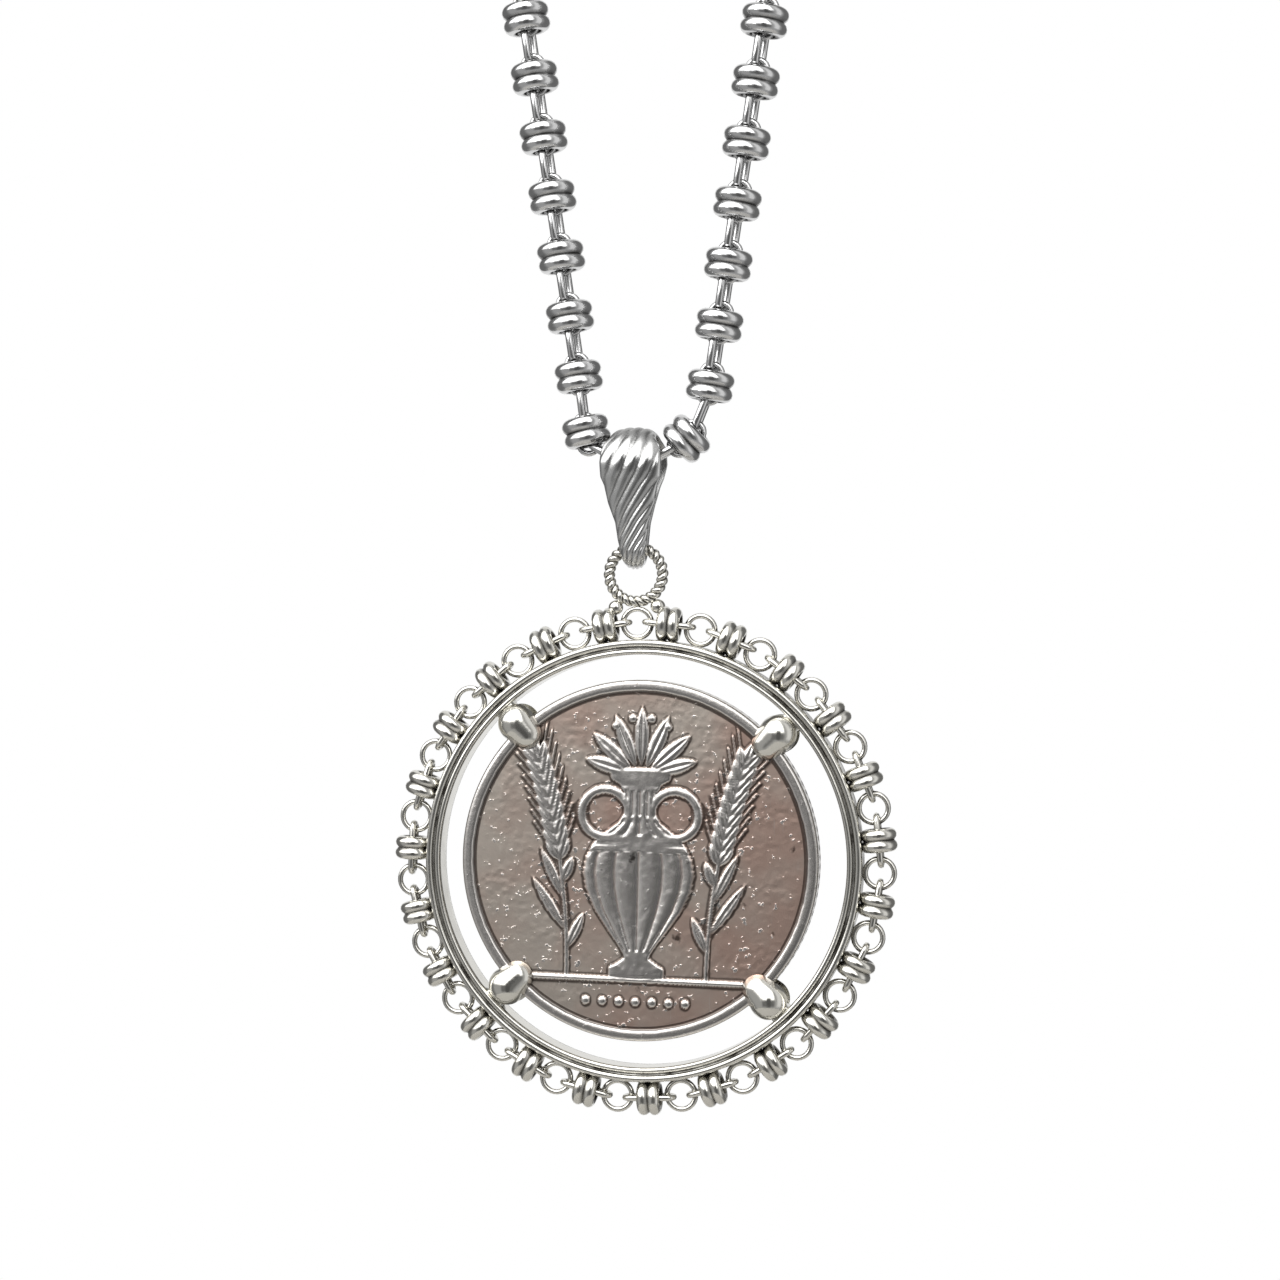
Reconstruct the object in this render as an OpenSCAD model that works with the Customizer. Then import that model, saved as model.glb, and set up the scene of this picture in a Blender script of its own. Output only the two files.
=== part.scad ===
// Coin pendant on a bead chain. A coin sits in a pierced silver ring on four
// egg-shaped claws. A twisted ring on top of it hangs in a fluted bail, and
// the bail hangs on a chain of double-ring beads that closes with a clasp.
// X is to the right, Z is up, and the front of the coin faces -Y. The origin
// is inside the top of the chain's loop, where the necklace is carried.

/* [Coin] */
// Diameter of the coin
coin_d = 27.8; // [22:0.1:29]
// Thickness of the coin over its rim
coin_t = 1.8; // [1.4:0.1:2.4]
// Width of the raised rim
rim_w = 0.95; // [0.6:0.05:1.6]
// Height of the rim above the field, on each face
rim_h = 0.22; // [0.1:0.01:0.3]
// Height of the relief above the field
relief_h = 0.2; // [0.1:0.01:0.3]
// Turn of the coin in its setting, in degrees
coin_turn = -3; // [-20:1:20]
// How far the coin sits to the left of the ring's middle
coin_shift = 0.24; // [0:0.02:0.3]

/* [Setting ring] */
// Inside diameter of the setting ring
ring_bore = 31.7; // [30:0.1:34]
// Wall of the setting ring, from bore to border
ring_wall = 1.15; // [0.9:0.05:1.6]
// Depth of the setting ring from front to back
ring_depth = 2.6; // [2:0.1:4]
// Radius of the outer bead of wire on each face of the ring
ring_bead_r = 0.26; // [0.2:0.01:0.3]
// Radius of the inner lip on each face of the ring
ring_lip_r = 0.2; // [0.15:0.01:0.24]

/* [Border] */
// Number of round rings in the border, with one bead between each two
border_n = 23; // [20:1:24]
// Outside diameter of a border ring
eye_d = 2.65; // [2.4:0.05:2.8]
// Wire of a border ring
eye_wire = 0.42; // [0.3:0.01:0.46]
// Diameter of a border bead
stud_d = 2.8; // [2.4:0.05:3]
// Length of a border bead along the border
stud_l = 1.8; // [1.4:0.05:1.9]
// Bore of a border bead
stud_bore = 1.4; // [1.3:0.02:1.5]
// Wire of the small link through a border bead
tie_wire = 0.5; // [0.4:0.02:0.54]
// Outside width of the small link
tie_w = 1.56; // [1.54:0.02:1.7]
// How deep the border bites into the setting ring
border_bite = 0.14; // [0.08:0.01:0.2]

/* [Claws] */
// Reach of a claw along the radius of the coin
claw_l = 3.84; // [3.6:0.02:4.2]
// Width of a claw
claw_w = 3; // [2.4:0.1:3.4]
// Height of a claw's dome above the coin
claw_h = 1.2; // [0.9:0.05:1.4]
// How far a claw reaches in over the coin's edge
claw_hold = 1.85; // [1.4:0.05:2.2]
// Width of the post that carries a claw
post_w = 1.6; // [1.2:0.1:2]
// Turn of the four claws from the diagonals, in degrees
claw_turn = -3.6; // [-8:0.2:8]

/* [Twisted ring] */
// Outside diameter of the twisted ring
rope_d = 5.1; // [4.6:0.1:6]
// Thickness of the two twisted wires together
rope_wire = 0.93; // [0.8:0.01:1.05]
// Number of lobes that the twist shows round the ring
rope_lobes = 24; // [18:2:30]
// Gap between the twisted ring and the border's top ring. It is filled with
// solder, and below zero the two wires meet
rope_seat = -0.1; // [-0.15:0.01:0.3]
// Diameter of the two solder balls beside the twisted ring
ball_d = 1.15; // [1.1:0.05:1.4]

/* [Bail] */
// Radius inside the top of the bail
bail_r = 2.1; // [2.05:0.05:2.5]
// Radius inside the foot of the bail
foot_r = 0.62; // [0.6:0.02:0.75]
// Distance between the two centres, top and foot
bail_drop = 6.28; // [5.6:0.02:8]
// Greatest half width of the bail
bail_half = 2.4; // [2.2:0.05:2.5]
// Metal outside the widest line at the top of the bail
bail_t = 0.68; // [0.5:0.02:0.9]
// Metal outside the widest line at the foot of the bail
foot_t = 0.62; // [0.5:0.02:0.8]
// Metal inside the widest line at the foot of the bail
foot_in = 0.56; // [0.4:0.02:0.7]
// Depth of the flutes as a share of the metal
flute_share = 0.3; // [0.1:0.01:0.4]
// Lean of the hanging pendant to one side, in degrees
pendant_lean = 1.5; // [0:0.1:4]

/* [Chain] */
// Diameter of a chain bead
bead_d = 3.66; // [3.3:0.02:3.8]
// Length of a chain bead along the chain
bead_l = 2.3; // [2:0.05:2.4]
// Bore of a chain bead
bead_bore = 1.96; // [1.92:0.01:1.98]
// Length from one chain bead to the next
pitch = 4.7; // [4.6:0.02:5]
// Outside length of the link inside a bead
core_l = 3.5; // [3.3:0.02:3.6]
// Outside width of the link inside a bead
core_w = 2.04; // [2.03:0.01:2.1]
// Wire of the link inside a bead
core_wire = 0.45; // [0.4:0.01:0.48]
// Outside width of the link between beads
join_w = 1.86; // [1.8:0.01:1.88]
// Wire of the link between beads
join_wire = 0.6; // [0.54:0.01:0.62]
// Turn of the links between beads about the strand, in degrees
join_turn = 18; // [0:1:20]
// How far the beads of the strands have slid down their links
bead_slide = 0.2; // [0:0.05:0.25]
// Beads on each straight strand
strand_n = 35; // [20:1:36]
// Beads on each half of the arch at the top
arch_n = 10; // [8:1:12]

/* [Clasp] */
// Width of the clasp
clasp_w = 5; // [4:0.1:6]
// Distance between the centres of the clasp's two round ends
clasp_run = 4; // [3:0.1:6]
// Wire of the clasp
clasp_wire = 1.1; // [0.9:0.05:1.3]
// Length of the thumb stud on the clasp
thumb_l = 1.4; // [1:0.1:2]

/* [Clearances] */
// Gap between linked links
link_gap = 0.1; // [0.1:0.01:0.14]
// Gap between a small border link and the ring it holds
tie_gap = 0.05; // [0.04:0.01:0.08]
// How far solder reaches into what it joins
solder_bite = 0.12; // [0.08:0.01:0.16]
// Gap between the coin and its claws
coin_gap = 0.06; // [0.04:0.01:0.1]
// Gap between the twisted ring and the foot of the bail
rope_gap = 0.07; // [0.05:0.01:0.12]

/* [Hidden] */
$fn = 64;

silver = "#c9cbcc";
steel = "#a79a92";

// Where the chain goes at the bottom, a few angles chosen by eye for each
// side: first link, first bead, second link. Angles rise from level.
route_right = [27.3, 42, 68];
route_left = [31.4, 78, 82.6];
// How far the first bead of each side has slid along its link
slide_right = 0;
slide_left = 0.2;
// Place of the hidden middle bead beside the loop's middle line
mid_x = -1;
// Place of the bail along that bead
bail_shift = 0.15;

ring_r = ring_bore / 2;
band_r = ring_r + ring_wall;
border_r = band_r - border_bite + stud_d / 2;
eye_r = (eye_d - eye_wire) / 2;
step_a = 180 / border_n;
rope_rise = border_r + eye_d / 2 + rope_seat + rope_d / 2;

// Lengths of the two kinds of chain step, between the centres of round ends
core_step = core_l - core_w;
core_arch = (core_w - core_wire) / 2;
hook_in = core_arch - core_wire / 2 - join_wire / 2 - link_gap;
join_step = pitch - core_step;
join_l = join_step - 2 * hook_in + join_wire;
end_w = clasp_wire + 2 * link_gap + 2 * join_wire;
clasp_hook = clasp_w / 2 - clasp_wire - join_wire / 2 - link_gap;
last_step = join_step - hook_in + clasp_hook;

// The steps of one side after the middle bead: a length and an angle each
function steps(route, lean) =
    let (arch_len = arch_n * pitch - join_step + last_step)
    concat(
        [[core_step / 2, 0], [join_step, route[0]], [core_step, route[1]],
         [join_step, route[2]]],
        [for (i = [1 : strand_n]) each
            [[core_step, 90 - lean], [join_step, 90 - lean]]],
        [for (i = [0 : arch_n - 1]) each
            let (
                along = i * pitch,
                far = i == arch_n - 1 ? last_step : join_step,
                turn = (90 + lean) / arch_len
            )
            [[core_step, 90 - lean + turn * (along + core_step / 2)],
             [far, 90 - lean + turn * (along + core_step + far / 2)]]]
    );

// Where the first n steps lead, as [x, z]
function reach(s, n) =
    [for (i = [0 : n - 1]) 1] * [for (i = [0 : n - 1]) s[i][0] * [cos(s[i][1]), sin(s[i][1])]];

// The lean of a strand for which its arch closes on the clasp
function closing_lean(route, start, low = 1, high = 30, n = 26) =
    let (mid = (low + high) / 2)
    n == 0 ? mid
    : start + reach(steps(route, mid), step_count)[0] > clasp_run / 2
        ? closing_lean(route, start, low, mid, n - 1)
        : closing_lean(route, start, mid, high, n - 1);

step_count = 4 + 2 * strand_n + 2 * arch_n;
lean_right = closing_lean(route_right, mid_x);
lean_left = closing_lean(route_left, -mid_x);
steps_right = steps(route_right, lean_right);
steps_left = steps(route_left, lean_left);

reach_right = reach(steps_right, step_count);
reach_left = reach(steps_left, step_count);
top_right = [mid_x + reach_right[0], reach_right[1]];
top_left = [mid_x - reach_left[0], reach_left[1]];
clasp_at = (top_right + top_left) / 2;
clasp_tilt = atan((top_right[1] - top_left[1]) / (top_right[0] - top_left[0]));
clasp_len = norm(top_right - top_left);

// Height of the hidden middle bead, below the inside of the loop's top
mid_z = -(clasp_at[1] - clasp_w / 2);
// How deep the twisted ring has rubbed a round seat into the bail's foot
foot_seat = 0.02;
bail_x = mid_x + bail_shift;
rope_r = (rope_d - rope_wire) / 2;
pivot_z = mid_z - bail_drop - foot_r + rope_gap + rope_wire / 2;

// Basic shapes

// A ring of round wire around the Z axis
module wire_ring(r, wire, turn = 360) {
    rotate_extrude(angle = turn) translate([r, 0]) circle(d = wire);
}

// An oval link along X, lying in the XY plane
module link(length, width, wire) {
    run = round((length - width) * 500) / 500;
    side = (width - wire) / 2;
    translate([run / 2, 0, 0]) rotate([0, 0, -90]) wire_ring(side, wire, 180);
    translate([-run / 2, 0, 0]) rotate([0, 0, 90]) wire_ring(side, wire, 180);
    translate([-run / 2, side, 0]) rotate([0, 90, 0]) cylinder(d = wire, h = run);
    translate([-run / 2, -side, 0]) rotate([0, 90, 0]) cylinder(d = wire, h = run);
}

// A double-ring bead along Z: two round ribs side by side, with a bore
module double_bead(d, length, bore) {
    rib = length * 0.27;
    rotate_extrude() intersection() {
        for (s = [-1, 1]) translate([d / 2 - rib, s * (length / 2 - rib)]) circle(r = rib);
        translate([bore / 2, -length]) square([d, 2 * length]);
    }
}

// Chain

module core_unit(slide) {
    color(silver) {
        rotate([90, 0, 0]) link(core_l, core_w, core_wire);
        translate([slide, 0, 0]) rotate([0, 90, 0]) double_bead(bead_d, bead_l, bead_bore);
    }
}

module join_unit(width, turn) {
    color(silver) rotate([turn, 0, 0]) link(join_l, width, join_wire);
}

// One side of the chain, drawn outward in +X from the middle bead. Its last
// link is wider, to go round the wire of the clasp. That one and the two
// at the bends by the bail lie square to their neighbours.
module chain_side(s, start, first_slide, turn) {
    for (i = [1 : len(s) - 1]) {
        dir = [cos(s[i][1]), sin(s[i][1])];
        half = i % 2 == 0 ? core_step / 2 : join_step / 2;
        place = reach(s, i) + half * dir;
        translate([start + place[0], 0, mid_z + place[1]]) rotate([0, -s[i][1], 0])
            if (i == step_count - 1) join_unit(end_w, 0);
            else if (i % 2 == 1) join_unit(join_w, i > 4 ? turn : 0);
            else core_unit(i == 2 ? first_slide : -bead_slide);
    }
}

module chain_right() {
    translate([mid_x, 0, mid_z]) core_unit(0);
    chain_side(steps_right, mid_x, slide_right, -join_turn);
}

module chain_left() {
    mirror([1, 0, 0]) chain_side(steps_left, -mid_x, slide_left, join_turn);
}

module clasp() {
    color(silver) translate([clasp_at[0], 0, clasp_w / 2]) rotate([90, -clasp_tilt, 0]) {
        link(clasp_len + clasp_w, clasp_w, clasp_wire);
        translate([0, clasp_w / 2 - clasp_wire / 2, 0]) rotate([-90, 0, 0])
            cylinder(d = clasp_wire * 0.8, h = clasp_wire / 2 + thumb_l);
    }
}

// Bail

// Share of the way from the top to the foot, half width of the front and of
// the back as shares of the greatest, and metal inside the widest line as a
// share of that at the foot
bail_table = [
    [0, 0.68, 0.68, 0.2],
    [0.12, 0.76, 0.76, 0.2],
    [0.19, 0.94, 0.88, 0.24],
    [0.3, 1, 0.89, 0.28],
    [0.4, 0.98, 0.78, 0.32],
    [0.46, 0.87, 0.68, 0.36],
    [0.59, 0.76, 0.53, 0.46],
    [0.73, 0.55, 0.4, 0.6],
    [0.86, 0.48, 0.36, 0.75],
    [0.95, 0.39, 0.33, 0.93],
    [1, 0.31, 0.31, 1],
];
bail_slope = asin((bail_r - foot_r) / bail_drop);
top_arc = bail_r * (90 + bail_slope) * PI / 180;
leg = bail_drop * cos(bail_slope);
foot_arc = foot_r * (90 - bail_slope) * PI / 180;
half_way = top_arc + leg + foot_arc;
// The flutes slant, and more so towards the foot
flute_gap = 0.46;
flute_rise = 0.17;
flute_curl = 0.0015;
bail_rings = 88;
bail_across = 16;

// A point of the inside line and the direction outward, from the distance
// gone down from the top, as [y, z, ny, nz]
function bail_line(way) =
    way < top_arc ? let (a = way / bail_r * 180 / PI)
        [bail_r * sin(a), bail_r * cos(a), sin(a), cos(a)]
    : way < top_arc + leg ? let (a = 90 + bail_slope, w = way - top_arc)
        [bail_r * sin(a) + w * cos(a), bail_r * cos(a) - w * sin(a), sin(a), cos(a)]
    : let (a = 90 + bail_slope + (way - top_arc - leg) / foot_r * 180 / PI)
        [foot_r * sin(a), foot_r * cos(a) - bail_drop, sin(a), cos(a)];

// Height of the outside at u across the bail, from -1 to 1
function fluted(u, way) =
    let (
        dome = pow(max(0, 1 - u * u), 0.42),
        slant = flute_rise * way + flute_curl * pow(way, 3),
        wave = pow(abs(sin(180 * (u + slant) / flute_gap)), 0.6)
    )
    dome * (1 - flute_share + flute_share * wave);

// A ring of points round the bail's metal, at a share of the whole loop
function bail_section(share) =
    let (
        back = share > 0.5,
        way = half_way * (back ? 2 - 2 * share : 2 * share),
        l = bail_line(way),
        part = way / half_way,
        half = bail_half * lookup(part, [for (r = bail_table) [r[0], r[back ? 2 : 1]]]),
        inner = foot_in * lookup(part, [for (r = bail_table) [r[0], r[3]]]),
        outer = bail_t + (foot_t - bail_t) * part,
        side = back ? 1 : -1,
        out = [for (i = [0 : bail_across])
            let (u = -cos(180 * i / bail_across)) [u * half, inner + outer * fluted(-u * side, way)]],
        in = [for (i = [1 : 5])
            let (u = cos(180 * i / 6)) [u * half, inner * (1 - sin(180 * i / 6))]],
        ring = concat(out, in)
    )
    [for (p = ring) [p[0], side * (l[0] + p[1] * l[2]), l[1] + p[1] * l[3]]];

module bail() {
    m = bail_across + 6;
    pts = [for (k = [0 : bail_rings - 1]) each bail_section(k / bail_rings)];
    quads = [for (k = [0 : bail_rings - 1]) for (j = [0 : m - 1])
        let (k2 = (k + 1) % bail_rings, j2 = (j + 1) % m)
        [k * m + j, k * m + j2, k2 * m + j2, k2 * m + j]];
    tris = [for (q = quads) each [[q[0], q[1], q[2]], [q[0], q[2], q[3]]]];
    color(silver) translate([bail_x, 0, mid_z]) difference() {
        polyhedron(pts, tris);
        translate([-bail_half, 0, -bail_drop]) rotate([0, 90, 0])
            cylinder(r = foot_r + foot_seat, h = 2 * bail_half);
    }
}

// Pendant, drawn about the coin's centre

module hang() {
    translate([bail_x, 0, pivot_z]) rotate([0, -pendant_lean, 0])
        translate([0, 0, -rope_r - rope_rise]) children();
}

module setting_ring() {
    face = ring_depth / 2;
    rotate([90, 0, 0]) rotate_extrude() {
        translate([ring_r, -face + ring_lip_r]) square([ring_wall, ring_depth - 2 * ring_lip_r]);
        for (s = [-1, 1]) {
            translate([ring_r + ring_lip_r + 0.02, s * (face - ring_lip_r)]) circle(r = ring_lip_r);
            translate([band_r - ring_bead_r - 0.02, s * (face - ring_bead_r)]) circle(r = ring_bead_r);
        }
    }
}

module border() {
    near = border_r * sin(step_a);
    sag = border_r * (1 - cos(step_a));
    cross = near - sqrt(eye_r * eye_r - sag * sag);
    tie_l = 2 * (cross + eye_wire / 2 + tie_gap + tie_wire);
    for (i = [0 : border_n - 1]) {
        rotate([0, i * 2 * step_a, 0]) translate([0, 0, border_r])
            rotate([90, 0, 0]) wire_ring(eye_r, eye_wire);
        rotate([0, (2 * i + 1) * step_a, 0]) translate([0, 0, border_r]) {
            rotate([0, 90, 0]) double_bead(stud_d, stud_l, stud_bore);
            link(tie_l, tie_w, tie_wire);
        }
    }
}

// Half an egg that lies along X with its blunt end at the far side
module claw_dome() {
    blunt = claw_w / 2;
    tip = blunt * 0.82;
    span = claw_l - blunt - tip;
    sink = blunt - claw_h;
    slope = asin((blunt - tip) / span);
    keep = 0.997;
    translate([0, 0, -sink]) rotate([0, 90, 0]) intersection() {
        rotate_extrude() intersection() {
            union() {
                circle(r = blunt);
                translate([0, -span]) circle(r = tip);
                polygon([
                    [0, 0], keep * blunt * [cos(slope), -sin(slope)],
                    [0, -span] + keep * tip * [cos(slope), -sin(slope)], [0, -span]
                ]);
            }
            translate([0, -2 * claw_l]) square([claw_l, 4 * claw_l]);
        }
        translate([-2 * claw_l - sink, -claw_l, -2 * claw_l]) cube([2 * claw_l, 2 * claw_l, 4 * claw_l]);
    }
}

module claws() {
    base = coin_t / 2 + coin_gap;
    inner_r = coin_d / 2 - claw_hold;
    blunt_r = inner_r + claw_l - claw_w / 2;
    post_in = coin_d / 2 + coin_gap + coin_shift;
    for (i = [0 : 3]) rotate([0, 45 + 90 * i - claw_turn, 0]) {
        for (s = [0, 1]) mirror([0, s, 0])
            translate([0, -base, blunt_r]) rotate([0, -90, 0]) rotate([90, 0, 0]) claw_dome();
        translate([-post_w / 2, -base - 0.1, post_in]) cube([post_w, 2 * base + 0.2, ring_r - post_in + 0.3]);
    }
}

// The twisted ring, two wires wound round each other, about the Y axis
module twisted_ring() {
    strand_r = rope_wire / 4;
    per_lobe = 6;
    rings = rope_lobes * per_lobe;
    m = 8;
    waist = 1.1;
    pts = [for (k = [0 : rings - 1]) for (j = [0 : m - 1])
        let (
            a = 360 * k / rings,
            b = 360 * j / m + 180 * k / per_lobe,
            d = strand_r * max(waist, 2 * abs(cos(360 * j / m)))
        )
        [(rope_r + d * cos(b)) * cos(a), d * sin(b), (rope_r + d * cos(b)) * sin(a)]];
    tris = [for (k = [0 : rings - 1]) for (j = [0 : m - 1])
        let (k2 = (k + 1) % rings, j2 = (j + 1) % m)
        each [[k * m + j, k2 * m + j, k * m + j2], [k * m + j2, k2 * m + j, k2 * m + j2]]];
    polyhedron(pts, tris);
}

// The twisted ring with the solder under it and a solder ball on each side,
// where the ring comes near the first border bead
module rope_and_solder() {
    ball_x = border_r * sin(step_a) - stud_l / 2 + solder_bite / 2;
    ball_far = rope_d / 2 + ball_d / 2 - solder_bite;
    translate([0, 0, rope_rise]) twisted_ring();
    for (s = [-1, 1])
        translate([s * ball_x, 0, rope_rise - sqrt(ball_far * ball_far - ball_x * ball_x)]) sphere(d = ball_d);
    translate([0, 0, rope_rise - rope_d / 2 - rope_seat / 2]) sphere(d = rope_seat + 4 * solder_bite);
}

module setting() {
    color(silver) hang() {
        setting_ring();
        border();
        claws();
        rope_and_solder();
    }
}

// Coin

// A pointed leaf along Y, from its foot at the origin
module leaf(length, width) {
    r = (length * length / 4 + width * width / 4) / width;
    intersection() {
        translate([r - width / 2, length / 2]) circle(r = r);
        translate([width / 2 - r, length / 2]) circle(r = r);
    }
}

// An ear of grain on a stem that bends outward to the right
module grain_ear(tall) {
    ease = 3.2;
    bend = tall * ease;
    top_a = asin(1 / ease);
    stem = tall * 0.024;
    pairs = 9;
    function on_stem(share) = bend * [1 - cos(top_a * share), sin(top_a * share)];
    intersection() {
        difference() {
            translate([bend, 0]) circle(r = bend + stem / 2);
            translate([bend, 0]) circle(r = bend - stem / 2);
        }
        square([tall, tall * 0.99]);
    }
    for (i = [0 : pairs - 1], s = [-1, 1]) {
        share = 0.52 + 0.44 * i / (pairs - 1);
        translate(on_stem(share)) rotate(-top_a * share - s * 26) leaf(tall * 0.118, tall * 0.05);
    }
    translate(on_stem(0.98)) rotate(-top_a) leaf(tall * 0.12, tall * 0.05);
    translate(on_stem(0.2)) rotate(-34) leaf(tall * 0.3, tall * 0.05);
    translate(on_stem(0.12)) rotate(24) leaf(tall * 0.19, tall * 0.05);
}

// A two-handled jar that stands on y = 0
module jar(tall) {
    w = tall * 0.27;
    translate([0, tall * 0.5]) circle(r = w);
    polygon([[-w * 0.93, tall * 0.42], [-w * 0.22, tall * 0.08], [w * 0.22, tall * 0.08],
             [w * 0.93, tall * 0.42]]);
    translate([-w * 0.5, 0]) square([w, tall * 0.1]);
    translate([-w * 0.3, tall * 0.65]) square([w * 0.6, tall * 0.3]);
    translate([-w * 0.55, tall * 0.93]) square([w * 1.1, tall * 0.07]);
    for (s = [-1, 1]) translate([s * w * 0.62, tall * 0.78]) difference() {
        circle(r = w * 0.5);
        circle(r = w * 0.34);
    }
}

// A fan of leaves that stands on y = 0
module sprig(tall) {
    for (a = [-74, -48, -23, 0, 23, 48, 74])
        translate([-tall * 0.19 * sin(a), -tall * 0.06]) rotate(a)
            leaf(tall * (1 - 0.2 * abs(a) / 74), tall * 0.25);
}

module relief() {
    field_r = coin_d / 2 - rim_w;
    ground = -field_r * 0.7;
    jar_tall = field_r * 1.25;
    translate([-field_r * 0.64, ground - 0.34]) square([field_r * 1.28, 0.44]);
    translate([0, ground]) jar(jar_tall);
    translate([0, ground + jar_tall]) sprig(field_r * 0.36);
    for (s = [0, 1]) mirror([s, 0]) translate([field_r * 0.42, ground]) grain_ear(field_r * 1.3);
    for (i = [-3 : 3]) translate([i * field_r * 0.1, ground - field_r * 0.14]) circle(d = field_r * 0.055);
}

module coin() {
    r = coin_d / 2;
    field = coin_t / 2 - rim_h;
    color(steel) hang() translate([-coin_shift, 0, 0]) rotate([0, -coin_turn, 0]) rotate([90, 0, 0]) {
        rotate_extrude() {
            translate([0, -field]) square([r - rim_w / 2, 2 * field]);
            difference() {
                translate([r - rim_w, -coin_t / 2]) square([rim_w, coin_t]);
                for (s = [-1, 1]) translate([r, s * coin_t / 2]) rotate(45) square(0.3, center = true);
            }
        }
        translate([0, 0, field - 0.1]) linear_extrude(relief_h + 0.1) relief();
    }
}

coin();
setting();
bail();
chain_left();
chain_right();
clasp();
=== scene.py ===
# %% [markdown]
# # A coin pendant on a bead chain
#
# A steel coin sits in a pierced silver ring, held by four egg-shaped claws. A twisted ring joins it to a
# fluted bail, and the bail hangs on a chain of double-ring beads. The lesson builds each of these pieces
# round a fixed model of the same necklace, which says how big everything is and what moves with what.

import math

import bmesh
import bpy
import numpy as np
from mathutils import Matrix, Vector


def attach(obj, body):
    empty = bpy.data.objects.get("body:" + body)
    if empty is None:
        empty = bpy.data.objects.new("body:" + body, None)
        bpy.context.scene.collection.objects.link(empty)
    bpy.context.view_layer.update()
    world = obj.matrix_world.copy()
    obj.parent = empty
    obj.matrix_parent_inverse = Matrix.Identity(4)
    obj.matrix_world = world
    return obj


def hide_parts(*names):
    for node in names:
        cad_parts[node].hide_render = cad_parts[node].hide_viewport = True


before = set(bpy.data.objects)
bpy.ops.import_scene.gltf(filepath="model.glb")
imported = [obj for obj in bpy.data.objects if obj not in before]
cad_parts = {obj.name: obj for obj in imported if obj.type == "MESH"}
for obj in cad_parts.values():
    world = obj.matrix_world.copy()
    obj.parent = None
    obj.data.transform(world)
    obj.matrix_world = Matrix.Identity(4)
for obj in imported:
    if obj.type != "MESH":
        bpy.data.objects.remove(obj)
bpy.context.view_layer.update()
MM = 0.001

# %% [markdown]
# The camera stands a little to the right of the pendant and level with it, at about the distance of a hand.
# From there the right side of the ring hides its own inside wall, and the left side shows it.

# %% The camera
AIM = Vector((-0.486, 0, -211.54)) * MM
VIEW_TURN = math.radians(10)
VIEW_FAR = 230 * MM
VIEW_WIDE = 98.7 * MM
SENSOR = 36

camera_data = bpy.data.cameras.new("camera")
camera_data.sensor_width = SENSOR
camera_data.lens = SENSOR * VIEW_FAR / VIEW_WIDE
camera_data.clip_start, camera_data.clip_end = 0.01, 20
camera = bpy.data.objects.new("camera", camera_data)
bpy.context.scene.collection.objects.link(camera)
toward = Vector((math.sin(VIEW_TURN), -math.cos(VIEW_TURN), 0))
camera.location = AIM + VIEW_FAR * toward
camera.rotation_mode = "QUATERNION"
camera.rotation_quaternion = (-toward).to_track_quat("-Z", "Y")
bpy.context.scene.camera = camera
print("lens", round(camera_data.lens, 2), "mm")

# %% [markdown]
# Every node of a material or a shape comes from one small function. It takes the kind of node, its settings,
# and what goes into its sockets: a plain value, a socket of another node, or a node, which stands for its
# first output.

# %% A function that adds one node
def add(tree, kind, settings=None, inputs=None):
    node = tree.nodes.new(kind)
    for name, value in (settings or {}).items():
        setattr(node, name, value)
    for name, value in (inputs or {}).items():
        if isinstance(value, bpy.types.Node):
            tree.links.new(value.outputs[0], node.inputs[name])
        elif isinstance(value, bpy.types.NodeSocket):
            tree.links.new(value, node.inputs[name])
        else:
            node.inputs[name].default_value = value
    return node


def linear(code):
    """An sRGB hex colour as the linear colour that a shader works with."""
    parts = [int(code[i:i + 2], 16) / 255 for i in (1, 3, 5)]
    return [p / 12.92 if p <= 0.04045 else ((p + 0.055) / 1.055) ** 2.4 for p in parts] + [1]


print("mid grey is", [round(c, 3) for c in linear("#808080")])

# %% [markdown]
# Silver shows nothing but what is round it, so the studio matters more than the silver's own colour. This
# one is a grey room, and each panel in it is a range of compass turn and rise with soft ends: a large white
# window high in front, paler panels above, below and to the right, white paper behind, and the dark shape of
# the camera and of whoever holds it. The camera itself sees plain white behind the pendant. Later panels
# cover earlier ones.

# %% The panels of the studio
scene = bpy.context.scene
scene.view_settings.view_transform = "Standard"
world = bpy.data.worlds.new("white tent")
world.use_nodes = True
scene.world = world
sky = world.node_tree
sky.nodes.clear()
way = add(sky, "ShaderNodeTexCoord").outputs["Generated"]
BACK_GREY = 0.18
# Turn from and to, rise from and to, and the width of the soft ends, all in degrees, and the light
PANELS = [
    (-92, 92, -110, 110, 14, 0.4),  # the front half of the room
    (-200, 200, 60, 110, 14, 0.75),  # the ceiling
    (-200, 200, -110, -48, 12, 0.46),  # the table
    (52, 82, -30, 60, 8, 0.85),  # a reflector on the right
    (152, 200, -60, 60, 5, 0.9),  # the paper behind, right half
    (-200, -152, -60, 60, 5, 0.9),  # and left half
    (-98, 34, 9, 92, 6, 2.2),  # the high window
    (-40, 34, -32, 3, 7, 0.17),  # whoever holds the camera
    (-13, 13, -36, 20, 5, 0.1),  # the camera
]


def compass(turn, rise):
    """The direction to a compass turn from the camera's side and a rise, both in degrees."""
    a, e = math.radians(turn) + VIEW_TURN, math.radians(rise)
    return Vector((math.sin(a) * math.cos(e), -math.cos(a) * math.cos(e), math.sin(e)))


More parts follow.
